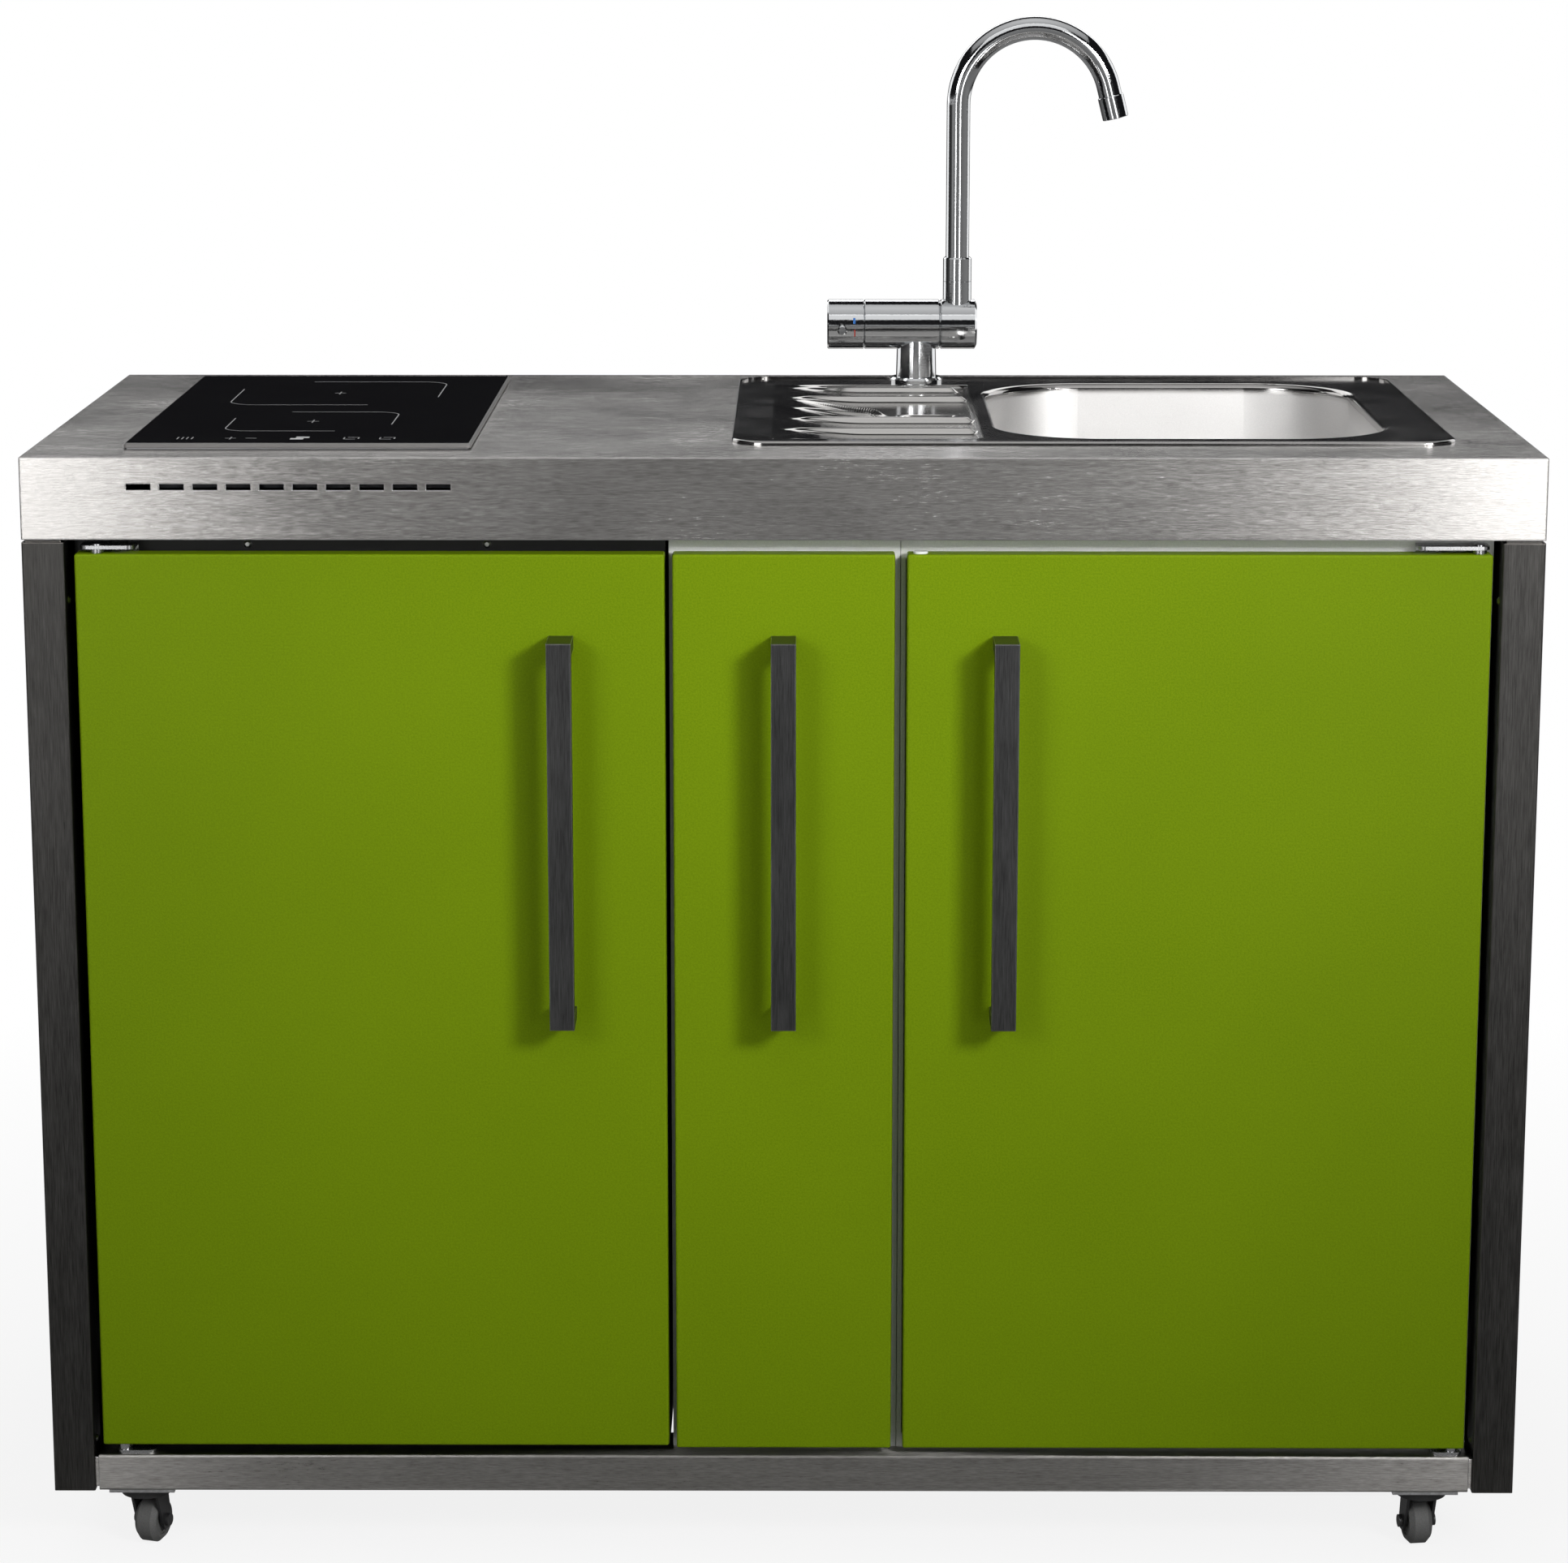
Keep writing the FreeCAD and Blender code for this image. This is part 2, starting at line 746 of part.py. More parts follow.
def make_worktop():
    top = size.apron_height
    wall = size.worktop_sheet
    depth = size.worktop_depth
    lip = size.apron_return
    body = new_body("worktop", y=front, z=apron_bottom)
    pad(body, rectangle(new_sketch(body, "XY_Plane"), (-half, half), (zero, depth)), top)
    soften(body, size.worktop_edge_radius, lambda edge: along("z")(edge) or at_height(top)(edge))
    opening = rectangle(new_sketch(body, "XY_Plane"), (lip - half, half - lip), (lip, depth - lip))
    pocket(body, opening, wall, forward=True)
    cavity = rectangle(new_sketch(body, "XY_Plane", wall), (wall - half, half - wall), (wall, depth - wall))
    pocket(body, cavity, top - 2 * wall, forward=True)
    hob_left = hob_x + size.hob_cutout_inset
    hob_right = hob_x + hob_width - size.hob_cutout_inset
    hob_front = size.hob_front + size.hob_cutout_inset
    hob_back = size.hob_front + hob_depth - size.hob_cutout_inset
    openings = new_sketch(body, "XY_Plane", top)
    rectangle(openings, (hob_left, hob_right), (hob_front, hob_back))
    rectangle(openings, (sink_x + size.sink_cutout_inset,
                         sink_x + sink_width - size.sink_cutout_inset),
              (size.sink_front + size.sink_cutout_inset,
               size.sink_front + sink_depth - size.sink_cutout_inset))
    pocket(body, openings, wall)
    slot = new_sketch(body, "XZ_Plane")
    slot_left = size.slot_inset - half
    slot_top = top - size.slot_drop
    rectangle(slot, (slot_left, slot_left + size.slot_width), (slot_top - size.slot_height, slot_top))
    first_slot = pocket(body, slot, wall)
    row(body, first_slot, slot, "H_Axis", size.slot_pitch, size.slot_count)


# Legs: square tubes with a foot plug below and a smaller neck that meets the worktop

def make_leg(label, left, near_face):
    wall = size.leg_wall
    width = size.leg_width
    length = leg_top - size.caster_height
    inner = (wall, width - wall)
    neck = (size.leg_neck_inset, width - size.leg_neck_inset)
    body = new_body(label, left, near_face, size.caster_height)
    pad(body, rectangle(new_sketch(body, "XY_Plane"), (zero, width), (zero, width)), length)
    soften(body, size.leg_corner_radius, along("z"))
    bore = rectangle(new_sketch(body, "XY_Plane", size.leg_foot_plug), inner, inner)
    pocket(body, bore, length - size.leg_foot_plug - size.leg_plug_depth, forward=True)
    pad(body, rectangle(new_sketch(body, "XY_Plane", length), neck, neck), size.leg_gap)


# Bottom rails: lipped channels, open below, with stepped ends that meet the legs

def make_rail(label, near_face):
    wall = size.rail_wall
    depth = size.rail_depth
    height = size.rail_height
    inset = size.rail_spigot_inset
    reach = leg_inner - size.rail_end_gap
    body = new_body(label, y=near_face, z=size.caster_height)
    pad(body, rectangle(new_sketch(body, "YZ_Plane", -reach), (zero, depth), (zero, height)), 2 * reach)
    soften(body, size.rail_corner_radius, along("x"))
    mouth = rectangle(new_sketch(body, "XY_Plane"), (wall - reach, reach - wall),
                      (size.rail_lip, depth - size.rail_lip))
    pocket(body, mouth, wall, forward=True)
    hollow = rectangle(new_sketch(body, "XY_Plane", wall), (wall - reach, reach - wall),
                       (wall, depth - wall))
    pocket(body, hollow, height - 2 * wall, forward=True)
    for start in (-leg_inner, reach):
        spigot = new_sketch(body, "YZ_Plane", start)
        rectangle(spigot, (inset, depth - inset), (inset, height - inset))
        pad(body, spigot, size.rail_end_gap)


# Side panels: sheets between the legs, folded to a channel at the foot and to a flange at the head

def make_side_panel(label, side):
    sheet_wall = size.panel_sheet
    outer = half - size.side_panel_inset
    fold = outer - size.side_panel_fold
    foot = size.caster_height
    head = leg_top
    profile = [
        (outer, foot), (outer, head), (fold, head), (fold, head - sheet_wall),
        (outer - sheet_wall, head - sheet_wall), (outer - sheet_wall, foot + sheet_wall),
        (leg_inner + sheet_wall, foot + sheet_wall), (leg_inner + sheet_wall, rail_top),
        (leg_inner, rail_top), (leg_inner, foot),
    ]
    body = new_body(label, y=back - size.leg_width)
    outline = draw(new_sketch(body, "XZ_Plane"), *[(side * x, z) for x, z in profile])
    pad(body, outline, size.worktop_depth - 2 * size.leg_width)


# Back panel: a sheet with louvre slots behind the refrigerator and an opening for water, waste and power

def make_back_panel():
    foot = rail_top
    body = new_body("back_panel", y=back - size.back_panel_inset)
    pad(body, rectangle(new_sketch(body, "XZ_Plane"), (-leg_inner, leg_inner), (foot, leg_top)),
        size.panel_sheet)
    service = new_sketch(body, "XZ_Plane")
    rectangle(service, service_x, service_z)
    pocket(body, service, size.panel_sheet + size.cut_overrun, forward=True)
    louvre = new_sketch(body, "XZ_Plane")
    louvre_top = leg_top - size.louvre_from_top
    middle = (fridge_door_left + fridge_door_right) / 2
    reach = (fridge_door_right - fridge_door_left) * size.louvre_width_share / 2
    rectangle(louvre, (middle - reach, middle + reach),
              (louvre_top - size.louvre_height, louvre_top))
    first = pocket(body, louvre, size.panel_sheet + size.cut_overrun, forward=True)
    pattern = row(body, first, louvre, "V_Axis", size.louvre_pitch, size.louvre_count)
    pattern.Reversed = True


# Screws: low round heads, two on the inner face of each leg and two above the refrigerator door

def make_screws():
    heads = []
    setback = size.leg_screw_setback
    for side, direction in ((-1, x_axis), (1, -x_axis)):
        for y in (front + setback, back - setback):
            for z in (rail_top + size.leg_screw_from_rail, leg_top - size.leg_screw_from_top):
                start = (side * leg_inner, y, z)
                heads.append(cone("screw", direction, start, size.leg_screw_radius,
                                  size.leg_screw_radius / 2, size.leg_screw_head))
    for step in range(2):
        x = fridge_case_left + size.fridge_screw_from_side + size.fridge_screw_pitch * step
        start = (x, fridge_front, fridge_top - size.fridge_screw_from_top)
        heads.append(cone("screw", -y_axis, start, size.leg_screw_radius,
                          size.leg_screw_radius / 2, size.leg_screw_head))
    group("frame_screws", *heads)


# Doors: folded steel skins closed at the back, with a shallow recess that leaves the folded margin

def make_door(label, left, right, bottom, pivots):
    thickness = size.door_thickness
    width = right - left
    height = door_top - bottom
    margin = size.door_back_margin
    body = new_body(label, left, front, bottom)
    pad(body, rectangle(new_sketch(body, "XZ_Plane"), (zero, width), (zero, height)), thickness,
        reverse=True)

    def on_front(edge):
        return abs(edge.BoundBox.YMax) < near

    soften(body, size.door_edge_radius, lambda edge: along("y")(edge) or on_front(edge))
    recess = new_sketch(body, "XZ_Plane", -thickness)
    rectangle(recess, (margin, width - margin), (margin, height - margin))
    pocket(body, recess, size.door_back_recess, forward=True)
    for pivot_x in pivots:
        for plane_height, forward in ((zero, True), (height, False)):
            bore = new_sketch(body, "XY_Plane", plane_height)
            circle(bore, pivot_x - left, size.pivot_front_inset, size.pivot_radius + size.pivot_clearance)
            pocket(body, bore, size.pivot_depth + size.pivot_clearance, forward=forward)


# Bow handles: a flat bar with square returns that stand on the door

def make_handle(label, x):
    reach = size.handle_reach
    length = size.handle_length
    bar = size.handle_bar
    foot = size.handle_return
    body = new_body(label, x - size.handle_width / 2, front, door_top - size.handle_from_top - length)
    profile = [(zero, zero), (zero, foot), (bar - reach, foot), (bar - reach, length - foot),
               (zero, length - foot), (zero, length), (-reach, length), (-reach, zero)]
    pad(body, draw(new_sketch(body, "YZ_Plane"), *profile), size.handle_width)

    def in_corner(edge):
        return along("x")(edge) and abs(edge.BoundBox.YMin - (bar - reach).value) < near

    def outer_edge(edge):
        return abs(edge.BoundBox.YMax + reach.value) < near

    soften(body, size.handle_inner_radius, in_corner)
    soften(body, size.handle_edge_radius, outer_edge)


# Cases: folded steel boxes, open at the front inside a narrow hem, with a lip under the worktop

def make_case(label, left, right, open_top):
    wall = size.case_sheet
    hem = size.case_hem
    far = size.cut_overrun
    inner = box(label + "_inside", (left + wall, right - wall), (case_front + wall, case_back - wall),
                (rail_top + wall, leg_top - wall))
    mouth = box(label + "_mouth", (left + hem, right - hem), (case_front - far, case_front + wall + far),
                (rail_top + size.case_bottom_flange, leg_top - size.case_top_flange))
    cuts = [inner, mouth]
    if open_top:
        cuts.append(box(label + "_top_opening", (left + hem, right - hem),
                        (case_front + size.case_front_shelf, case_back - size.case_back_shelf),
                        (leg_top - wall - far, leg_top + far)))
        cuts.append(box(label + "_service_opening", service_x, (case_back - wall - far, case_back + far),
                        service_z))
    shell = cut(label + "_shell", box(label + "_block", (left, right), (case_front, case_back),
                                      (rail_top, leg_top)), *cuts)
    lip = box(label + "_lip", (left + size.case_lip_inset, right - size.case_lip_inset),
              (case_front - size.case_lip, case_front), (leg_top - wall, leg_top))
    keep(join(label, shell, lip), label)


# Pivot hinges: plates on the case and on the rail with pins that enter the door from above and below

def plate_ends(pivot_x, inward, overhang, length):
    # inward is 1 or -1 and points from the pivot towards the middle of the door
    outer = pivot_x - inward * overhang
    inner = outer + inward * length
    return (outer, inner) if inward > 0 else (inner, outer)


def make_hinges(name, pivot_x, inward, door_low, case_face, ends, foot_ends):
    plate_low = door_top + size.hinge_top_lift
    plate_front = front + size.hinge_front_inset
    top = new_body(name + "_hinge_top", ends[0], plate_front, plate_low)
    run = ends[1] - ends[0]
    reach = case_face - plate_front
    pad(top, rectangle(new_sketch(top, "XY_Plane"), (zero, run), (zero, reach)), size.hinge_plate)

    def front_corner(edge):
        return along("z")(edge) and abs(edge.BoundBox.YMin) < near

    soften(top, size.hinge_corner_radius, front_corner)
    tab_start = run - size.hinge_tab_width if inward > 0 else zero
    tab = rectangle(new_sketch(top, "XZ_Plane", -reach),
                    (tab_start, tab_start + size.hinge_tab_width), (-size.hinge_tab_height,
                                                                    size.hinge_plate))
    pad(top, tab, size.hinge_tab_sheet)
    pin_x = pivot_x - ends[0]
    pin_y = pivot_y - plate_front
    collar = circle(new_sketch(top, "XY_Plane"), pin_x, pin_y, size.hinge_collar_radius)
    pad(top, collar, size.hinge_top_lift - size.hinge_gap, reverse=True)
    pin = circle(new_sketch(top, "XY_Plane"), pin_x, pin_y, size.pivot_radius)
    pad(top, pin, size.hinge_top_lift + size.pivot_depth - size.hinge_gap, reverse=True)
    rivet = circle(new_sketch(top, "XY_Plane", size.hinge_plate), pin_x, pin_y, size.pivot_radius)
    pad(top, rivet, size.hinge_rivet)
    foot = new_body(name + "_hinge_bottom", foot_ends[0], plate_front, rail_top)
    foot_run = foot_ends[1] - foot_ends[0]
    pad(foot, rectangle(new_sketch(foot, "XY_Plane"), (zero, foot_run), (zero, size.hinge_foot_depth)),
        size.hinge_plate)
    soften(foot, size.hinge_corner_radius, front_corner)
    foot_x = pivot_x - foot_ends[0]
    rise = door_low - rail_top - size.hinge_plate
    washer = circle(new_sketch(foot, "XY_Plane", size.hinge_plate), foot_x, pin_y, size.hinge_collar_radius)
    pad(foot, washer, rise - size.hinge_gap)
    lower_pin = circle(new_sketch(foot, "XY_Plane", size.hinge_plate), foot_x, pin_y, size.pivot_radius)
    pad(foot, lower_pin, rise + size.pivot_depth - size.hinge_gap)


def make_door_cap():
    x = sink_door_left + size.door_cap_inset
    cap = new_body("sink_door_cap", x, pivot_y, door_top)
    pad(cap, circle(new_sketch(cap, "XY_Plane"), zero, zero, size.door_cap_radius), size.door_cap_height)
    soften(cap, size.door_cap_height / 2, at_height(size.door_cap_height))


# Refrigerator: an insulated case, a moulded liner with shelf ledges, and the cooling parts

def fridge_cavity(label, grow, front_plane, gap):
    # the stepped space of the liner, grown on every side but the front
    left = fridge_case_left + size.fridge_wall - grow
    right = fridge_case_right - size.fridge_wall + grow
    low = rail_top + size.fridge_wall - grow
    high = fridge_top - size.fridge_wall + grow
    deep = fridge_back - size.fridge_back_wall + grow
    step_deep = fridge_back - size.fridge_hump_depth - size.fridge_wall + grow
    step_high = rail_top + size.fridge_hump_height + size.fridge_wall - grow
    lower = box(label + "_lower", (left, right), (front_plane, step_deep), (low, step_high + gap))
    upper = box(label + "_upper", (left, right), (front_plane, deep), (step_high, high))
    return join(label, lower, upper)


def make_fridge_case():
    far = size.cut_overrun
    side = size.fridge_niche_side
    block = box("fridge_block", (fridge_case_left, fridge_case_right), (fridge_front, fridge_back),
                (rail_top, fridge_top))
    cavity = fridge_cavity("fridge_cavity", zero, fridge_front - far, far)
    niche = box("fridge_niche", (fridge_case_left + side, fridge_case_right - side),
                (fridge_back - size.fridge_hump_depth, fridge_back + far),
                (rail_top + size.fridge_niche_floor, rail_top + size.fridge_hump_height))
    spindle = rod("fridge_spindle_bore", x_axis, (knob_wall - far, knob_y, knob_z),
                  size.knob_spindle_radius + size.spindle_clearance, size.knob_spindle_length + far)
    keep(cut("fridge_case", block, cavity, niche, spindle), "fridge_case")


def make_fridge_liner():
    wall = size.liner_wall
    far = size.cut_overrun
    outer = fridge_cavity("liner_outer", zero, fridge_front, zero)
    inner = fridge_cavity("liner_inner", -wall, fridge_front - far, far)
    spindle = rod("liner_spindle_bore", x_axis, (knob_wall - wall - far, knob_y, knob_z),
                  size.knob_spindle_radius + size.spindle_clearance, wall + 2 * far)
    shell = cut("liner_shell", outer, inner, spindle)
    ledges = []
    for level in shelf_levels:
        for start, end in ((liner_left, liner_left + size.liner_ledge),
                           (liner_right - size.liner_ledge, liner_right)):
            ledges.append(box("liner_ledge", (start, end), (shelf_front, liner_deep),
                              (level - size.liner_ledge_height, level)))
    keep(join("fridge_liner", shell, *ledges), "fridge_liner")


def make_fridge_shelves():
    slack = size.shelf_clearance
    shelves = []
    for level in shelf_levels:
        plate = box("shelf_plate", (liner_left + slack, liner_right - slack),
                    (shelf_front, liner_deep - size.shelf_back_gap), (level, level + size.shelf_thickness))
        trim = box("shelf_trim", (liner_left + size.liner_ledge + slack,
                                  liner_right - size.liner_ledge - slack),
                   (shelf_front - size.shelf_trim_depth, shelf_front + size.shelf_trim_depth),
                   (level + size.shelf_thickness - size.shelf_trim_height, level + size.shelf_thickness))
        shelves.append(join("shelf", plate, trim))
    group("fridge_shelves", *shelves)


def make_evaporator():
    width = (liner_right - liner_left) * size.evaporator_width_share
    height = size.evaporator_height
    channel = size.evaporator_channel
    raised = size.evaporator_channel_height
    middle = (liner_left + liner_right) / 2
    body = new_body("fridge_evaporator", middle - width / 2, liner_deep,
                    liner_high - size.evaporator_from_top - height)
    pad(body, rectangle(new_sketch(body, "XZ_Plane"), (zero, width), (zero, height)), size.evaporator_sheet)
    runs = int(size.evaporator_run_count.value)
    pitch = (height - 2 * channel) / size.evaporator_run_count
    for step in range(runs):
        low = channel + pitch * step
        run = rectangle(new_sketch(body, "XZ_Plane", size.evaporator_sheet),
                        (channel, width - channel), (low, low + channel))
        pad(body, run, raised)
        if step + 1 < runs:
            turn_left = width - 2 * channel if step % 2 == 0 else channel
            turn = rectangle(new_sketch(body, "XZ_Plane", size.evaporator_sheet),
                             (turn_left, turn_left + channel), (low + channel, low + pitch))
            pad(body, turn, raised)


def make_knob():
    # the knob's axis lies along X; its skirt faces the liner's right wall
    body = new_body("thermostat_knob", knob_wall - size.liner_wall - size.knob_gap, knob_y, knob_z)
    height = size.knob_height
    grip = size.knob_grip_width / 2
    pad(body, circle(new_sketch(body, "YZ_Plane", -height), zero, zero, size.knob_radius), height)
    soften(body, size.knob_edge_radius, lambda edge: abs(edge.BoundBox.XMax + height.value) < near)
    bar = rectangle(new_sketch(body, "YZ_Plane", -height - size.knob_grip_height),
                    (-grip, grip), (size.knob_grip_inset - size.knob_radius,
                                    size.knob_radius - size.knob_grip_inset))
    pad(body, bar, size.knob_grip_height + size.knob_gap)
    spindle = circle(new_sketch(body, "YZ_Plane"), zero, zero, size.knob_spindle_radius)
    pad(body, spindle, size.liner_wall + size.knob_spindle_length - size.knob_gap)


def make_compressor():
    radius = size.compressor_radius
    height = size.compressor_height
    flange = size.compressor_flange
    crown = size.compressor_crown
    foot = size.compressor_foot
    middle = (fridge_case_left + fridge_case_right) / 2
    body = new_body("fridge_compressor", middle, fridge_back - size.fridge_hump_depth / 2,
                    rail_top + size.fridge_niche_floor)
    waist = height * size.compressor_waist_share
    profile = [
        (zero, foot), (radius - crown, foot), (radius, foot + crown), (radius, waist),
        (radius + flange, waist), (radius + flange, waist + flange), (radius, waist + flange),
        (radius - flange, height - crown), (radius - flange - crown, height), (zero, height),
    ]
    revolve(body, draw(new_sketch(body, "XZ_Plane"), *profile))
    wide = size.compressor_foot_width / 2
    deep = size.compressor_foot_depth / 2
    pad(body, rectangle(new_sketch(body, "XY_Plane"), (-wide, wide), (-deep, deep)), foot)


def make_condenser():
    # tubes run side to side and turn in half circles, with flat strips behind them
    radius = size.condenser_tube_radius
    bend = size.condenser_bend_radius
    count = int(size.condenser_run_count.value)
    y = (fridge_back + radius).value
    middle = ((fridge_case_left + fridge_case_right) / 2).value
    reach = (fridge_case_right - fridge_case_left).value * size.condenser_run_share.value / 2
    top = (fridge_top - size.condenser_from_top).value
    edges = []
    for step in range(count):
        side = 1 if step % 2 == 0 else -1
        z = top - 2 * bend.value * step
        start = FreeCAD.Vector(middle - side * reach, y, z)
        end = FreeCAD.Vector(middle + side * reach, y, z)
        edges.append(Part.LineSegment(start, end).toShape())
        if step + 1 < count:
            far = FreeCAD.Vector(end.x + side * bend.value, y, z - bend.value)
            low = FreeCAD.Vector(end.x, y, z - 2 * bend.value)
            edges.append(Part.Arc(end, far, low).toShape())
    path = Part.Wire(edges)
    profile = Part.Wire([Part.Circle(edges[0].Vertexes[0].Point, x_axis, radius.value).toShape()])
    tube = path.makePipeShell([profile], True, True)
    low = top - 2 * bend.value * (count - 1) - size.condenser_strip_overhang.value
    strips = int(size.condenser_strip_count.value)
    width = size.condenser_strip_width.value
    parts = []
    for step in range(strips):
        x = middle - reach + 2 * reach * (step + 1 / 2) / strips
        corner = FreeCAD.Vector(x - width / 2, y + radius.value / 2, low)
        parts.append(Part.makeBox(width, width, top + size.condenser_strip_overhang.value - low, corner))
    condenser = doc.addObject("Part::Feature", "fridge_condenser")
    condenser.Shape = tube.fuse(parts).removeSplitter()
    keep(condenser, "fridge_condenser")


def make_door_seal():
    gap = size.seal_gap
    inset = size.seal_inset
    width = size.seal_width
    left = fridge_door_left + inset
    right = fridge_door_right - inset
    low = fridge_door_bottom + inset
    high = door_top - inset
    far = size.cut_overrun
    outer = box("seal_outer", (left, right), (door_seat, fridge_front - gap), (low, high))
    hole = box("seal_hole", (left + width, right - width), (door_seat - far, fridge_front),
               (low + width, high - width))
    half_groove = size.seal_groove_width / 2
    middle = width / 2
    groove_front = fridge_front - gap - size.seal_groove_depth
    groove_outer = box("seal_groove_outer", (left + middle - half_groove, right - middle + half_groove),
                       (groove_front, fridge_front), (low + middle - half_groove,
                                                      high - middle + half_groove))
    groove_inner = box("seal_groove_inner", (left + middle + half_groove, right - middle - half_groove),
                       (groove_front - far, fridge_front + far), (low + middle + half_groove,
                                                                  high - middle - half_groove))
    grooved = cut("seal_groove", groove_outer, groove_inner)
    keep(cut("fridge_door_seal", outer, hole, grooved), "fridge_door_seal")


def make_door_liner():
    # a moulded tray: a back plate, two upright dykes and two bins between them
    inset = size.door_liner_inset
    wall = size.door_liner_wall
    left = fridge_door_left + inset
    right = fridge_door_right - inset
    low = fridge_door_bottom + inset
    high = door_top - inset
    dyke = size.door_dyke_width
    deep = door_back + wall + size.door_dyke_depth
    plate = box("door_liner_plate", (left, right), (door_seat, door_back + wall), (low, high))
    pieces_here = [plate]
    for start in (left, right - dyke):
        pieces_here.append(box("door_dyke", (start, start + dyke), (door_back, deep), (low, high)))
    for level in (size.bin_lower_height, size.bin_upper_height):
        floor_low = low + level
        pieces_here.append(box("door_bin_floor", (left, right), (door_back, deep),
                               (floor_low, floor_low + wall)))
        pieces_here.append(box("door_bin_lip", (left, right), (deep - wall, deep),
                               (floor_low, floor_low + size.bin_lip_height)))
    keep(join("fridge_door_liner", *pieces_here), "fridge_door_liner")


# Pull-out: three-member runners on packers at the walls of the case, and a slotted double basket between them

def make_runners():
    wall = size.slide_wall
    slack = size.slide_clearance
    step_in = wall + slack
    low = rail_top + size.slide_from_bottom
    high = low + size.slide_height
    start = case_front + size.case_sheet + size.slide_setback
    run = (start, start + size.slide_length)
    sides = [(pull_out_case_left + size.case_sheet, 1), (pull_out_case_right - size.case_sheet, -1)]
    outer, middle, inner = [], [], []

    def span(origin, side, near_side, far_side):
        ends = (origin + side * near_side, origin + side * far_side)
        return ends if side > 0 else ends[::-1]

    for case_wall, side in sides:
        rail_side = case_wall + side * size.slide_packer
        packer = box("packer", span(case_wall, side, zero, size.slide_packer), run,
                     (low + slack, high - slack))
        web = box("outer_web", span(rail_side, side, zero, wall), run, (low, high))
        lips = [box("outer_lip", span(rail_side, side, zero, size.slide_lip), run, ends)
                for ends in ((low, low + wall), (high - wall, high))]
        outer.append(join("outer_rail", packer, web, *lips))
        low_middle = low + step_in
        high_middle = high - step_in
        web = box("middle_web", span(rail_side, side, step_in, step_in + wall), run,
                  (low_middle, high_middle))
        lips = [box("middle_lip", span(rail_side, side, step_in, size.slide_lip), run, ends)
                for ends in ((low_middle, low_middle + wall), (high_middle - wall, high_middle))]
        middle.append(join("middle_rail", web, *lips))
        low_inner = low_middle + step_in
        high_inner = high_middle - step_in
        web = box("inner_web", span(rail_side, side, 2 * step_in, 2 * step_in + wall), run,
                  (low_inner, high_inner))
        bar = box("inner_bar", span(rail_side, side, 2 * step_in, size.slide_width), run,
                  (low_inner + size.slide_bar_inset, high_inner - size.slide_bar_inset))
        inner.append(join("inner_rail", web, bar))
    group("pull_out_outer_rails", *outer)
    group("pull_out_middle_rails", *middle)
    group("pull_out_inner_rails", *inner)


def make_basket():
    # a front plate carries both trays, and two posts on the lower tray's rim carry the upper one at the back
    wall = size.basket_sheet
    far = size.cut_overrun
    left = pull_out_case_left + size.case_sheet + size.slide_packer + size.slide_width
    right = pull_out_case_right - size.case_sheet - size.slide_packer - size.slide_width
    low = rail_top + size.slide_from_bottom - size.basket_floor_drop
    near_end = door_back + wall
    far_end = door_back + size.basket_depth
    levels = (low, low + size.basket_upper_lift)
    shapes = [box("basket_front", (left, right), (door_back, near_end), (low, levels[1] + size.basket_height))]
    pitch = (far_end - near_end - 2 * size.basket_slot_gap) / size.basket_slot_count
    for level in levels:
        rim = level + size.basket_height
        outside = box("basket_tray", (left, right), (near_end, far_end), (level, rim))
        hollows = [box("basket_hollow", (left + wall, right - wall), (near_end + wall, far_end - wall),
                       (level + wall, rim + far))]
        slot_low = level + (size.basket_height - size.basket_slot_height) / 2
        for step in range(int(size.basket_slot_count.value)):
            slot_start = near_end + size.basket_slot_gap + pitch * step + size.basket_slot_gap / 2
            hollows.append(box("basket_slot", (left - far, right + far),
                               (slot_start, slot_start + pitch - size.basket_slot_gap),
                               (slot_low, slot_low + size.basket_slot_height)))
        shapes.append(cut("basket_tray_open", outside, *hollows))
    for start, end in ((left, left + wall), (right - wall, right)):
        shapes.append(box("basket_post", (start, end), (far_end - size.basket_post_width, far_end),
                          (low + size.basket_height, levels[1])))
    group("pull_out_basket", *shapes)


# Sink: one pressing with a raised bead, a ribbed drainer, a channel towards the bowl and a deep rounded bowl

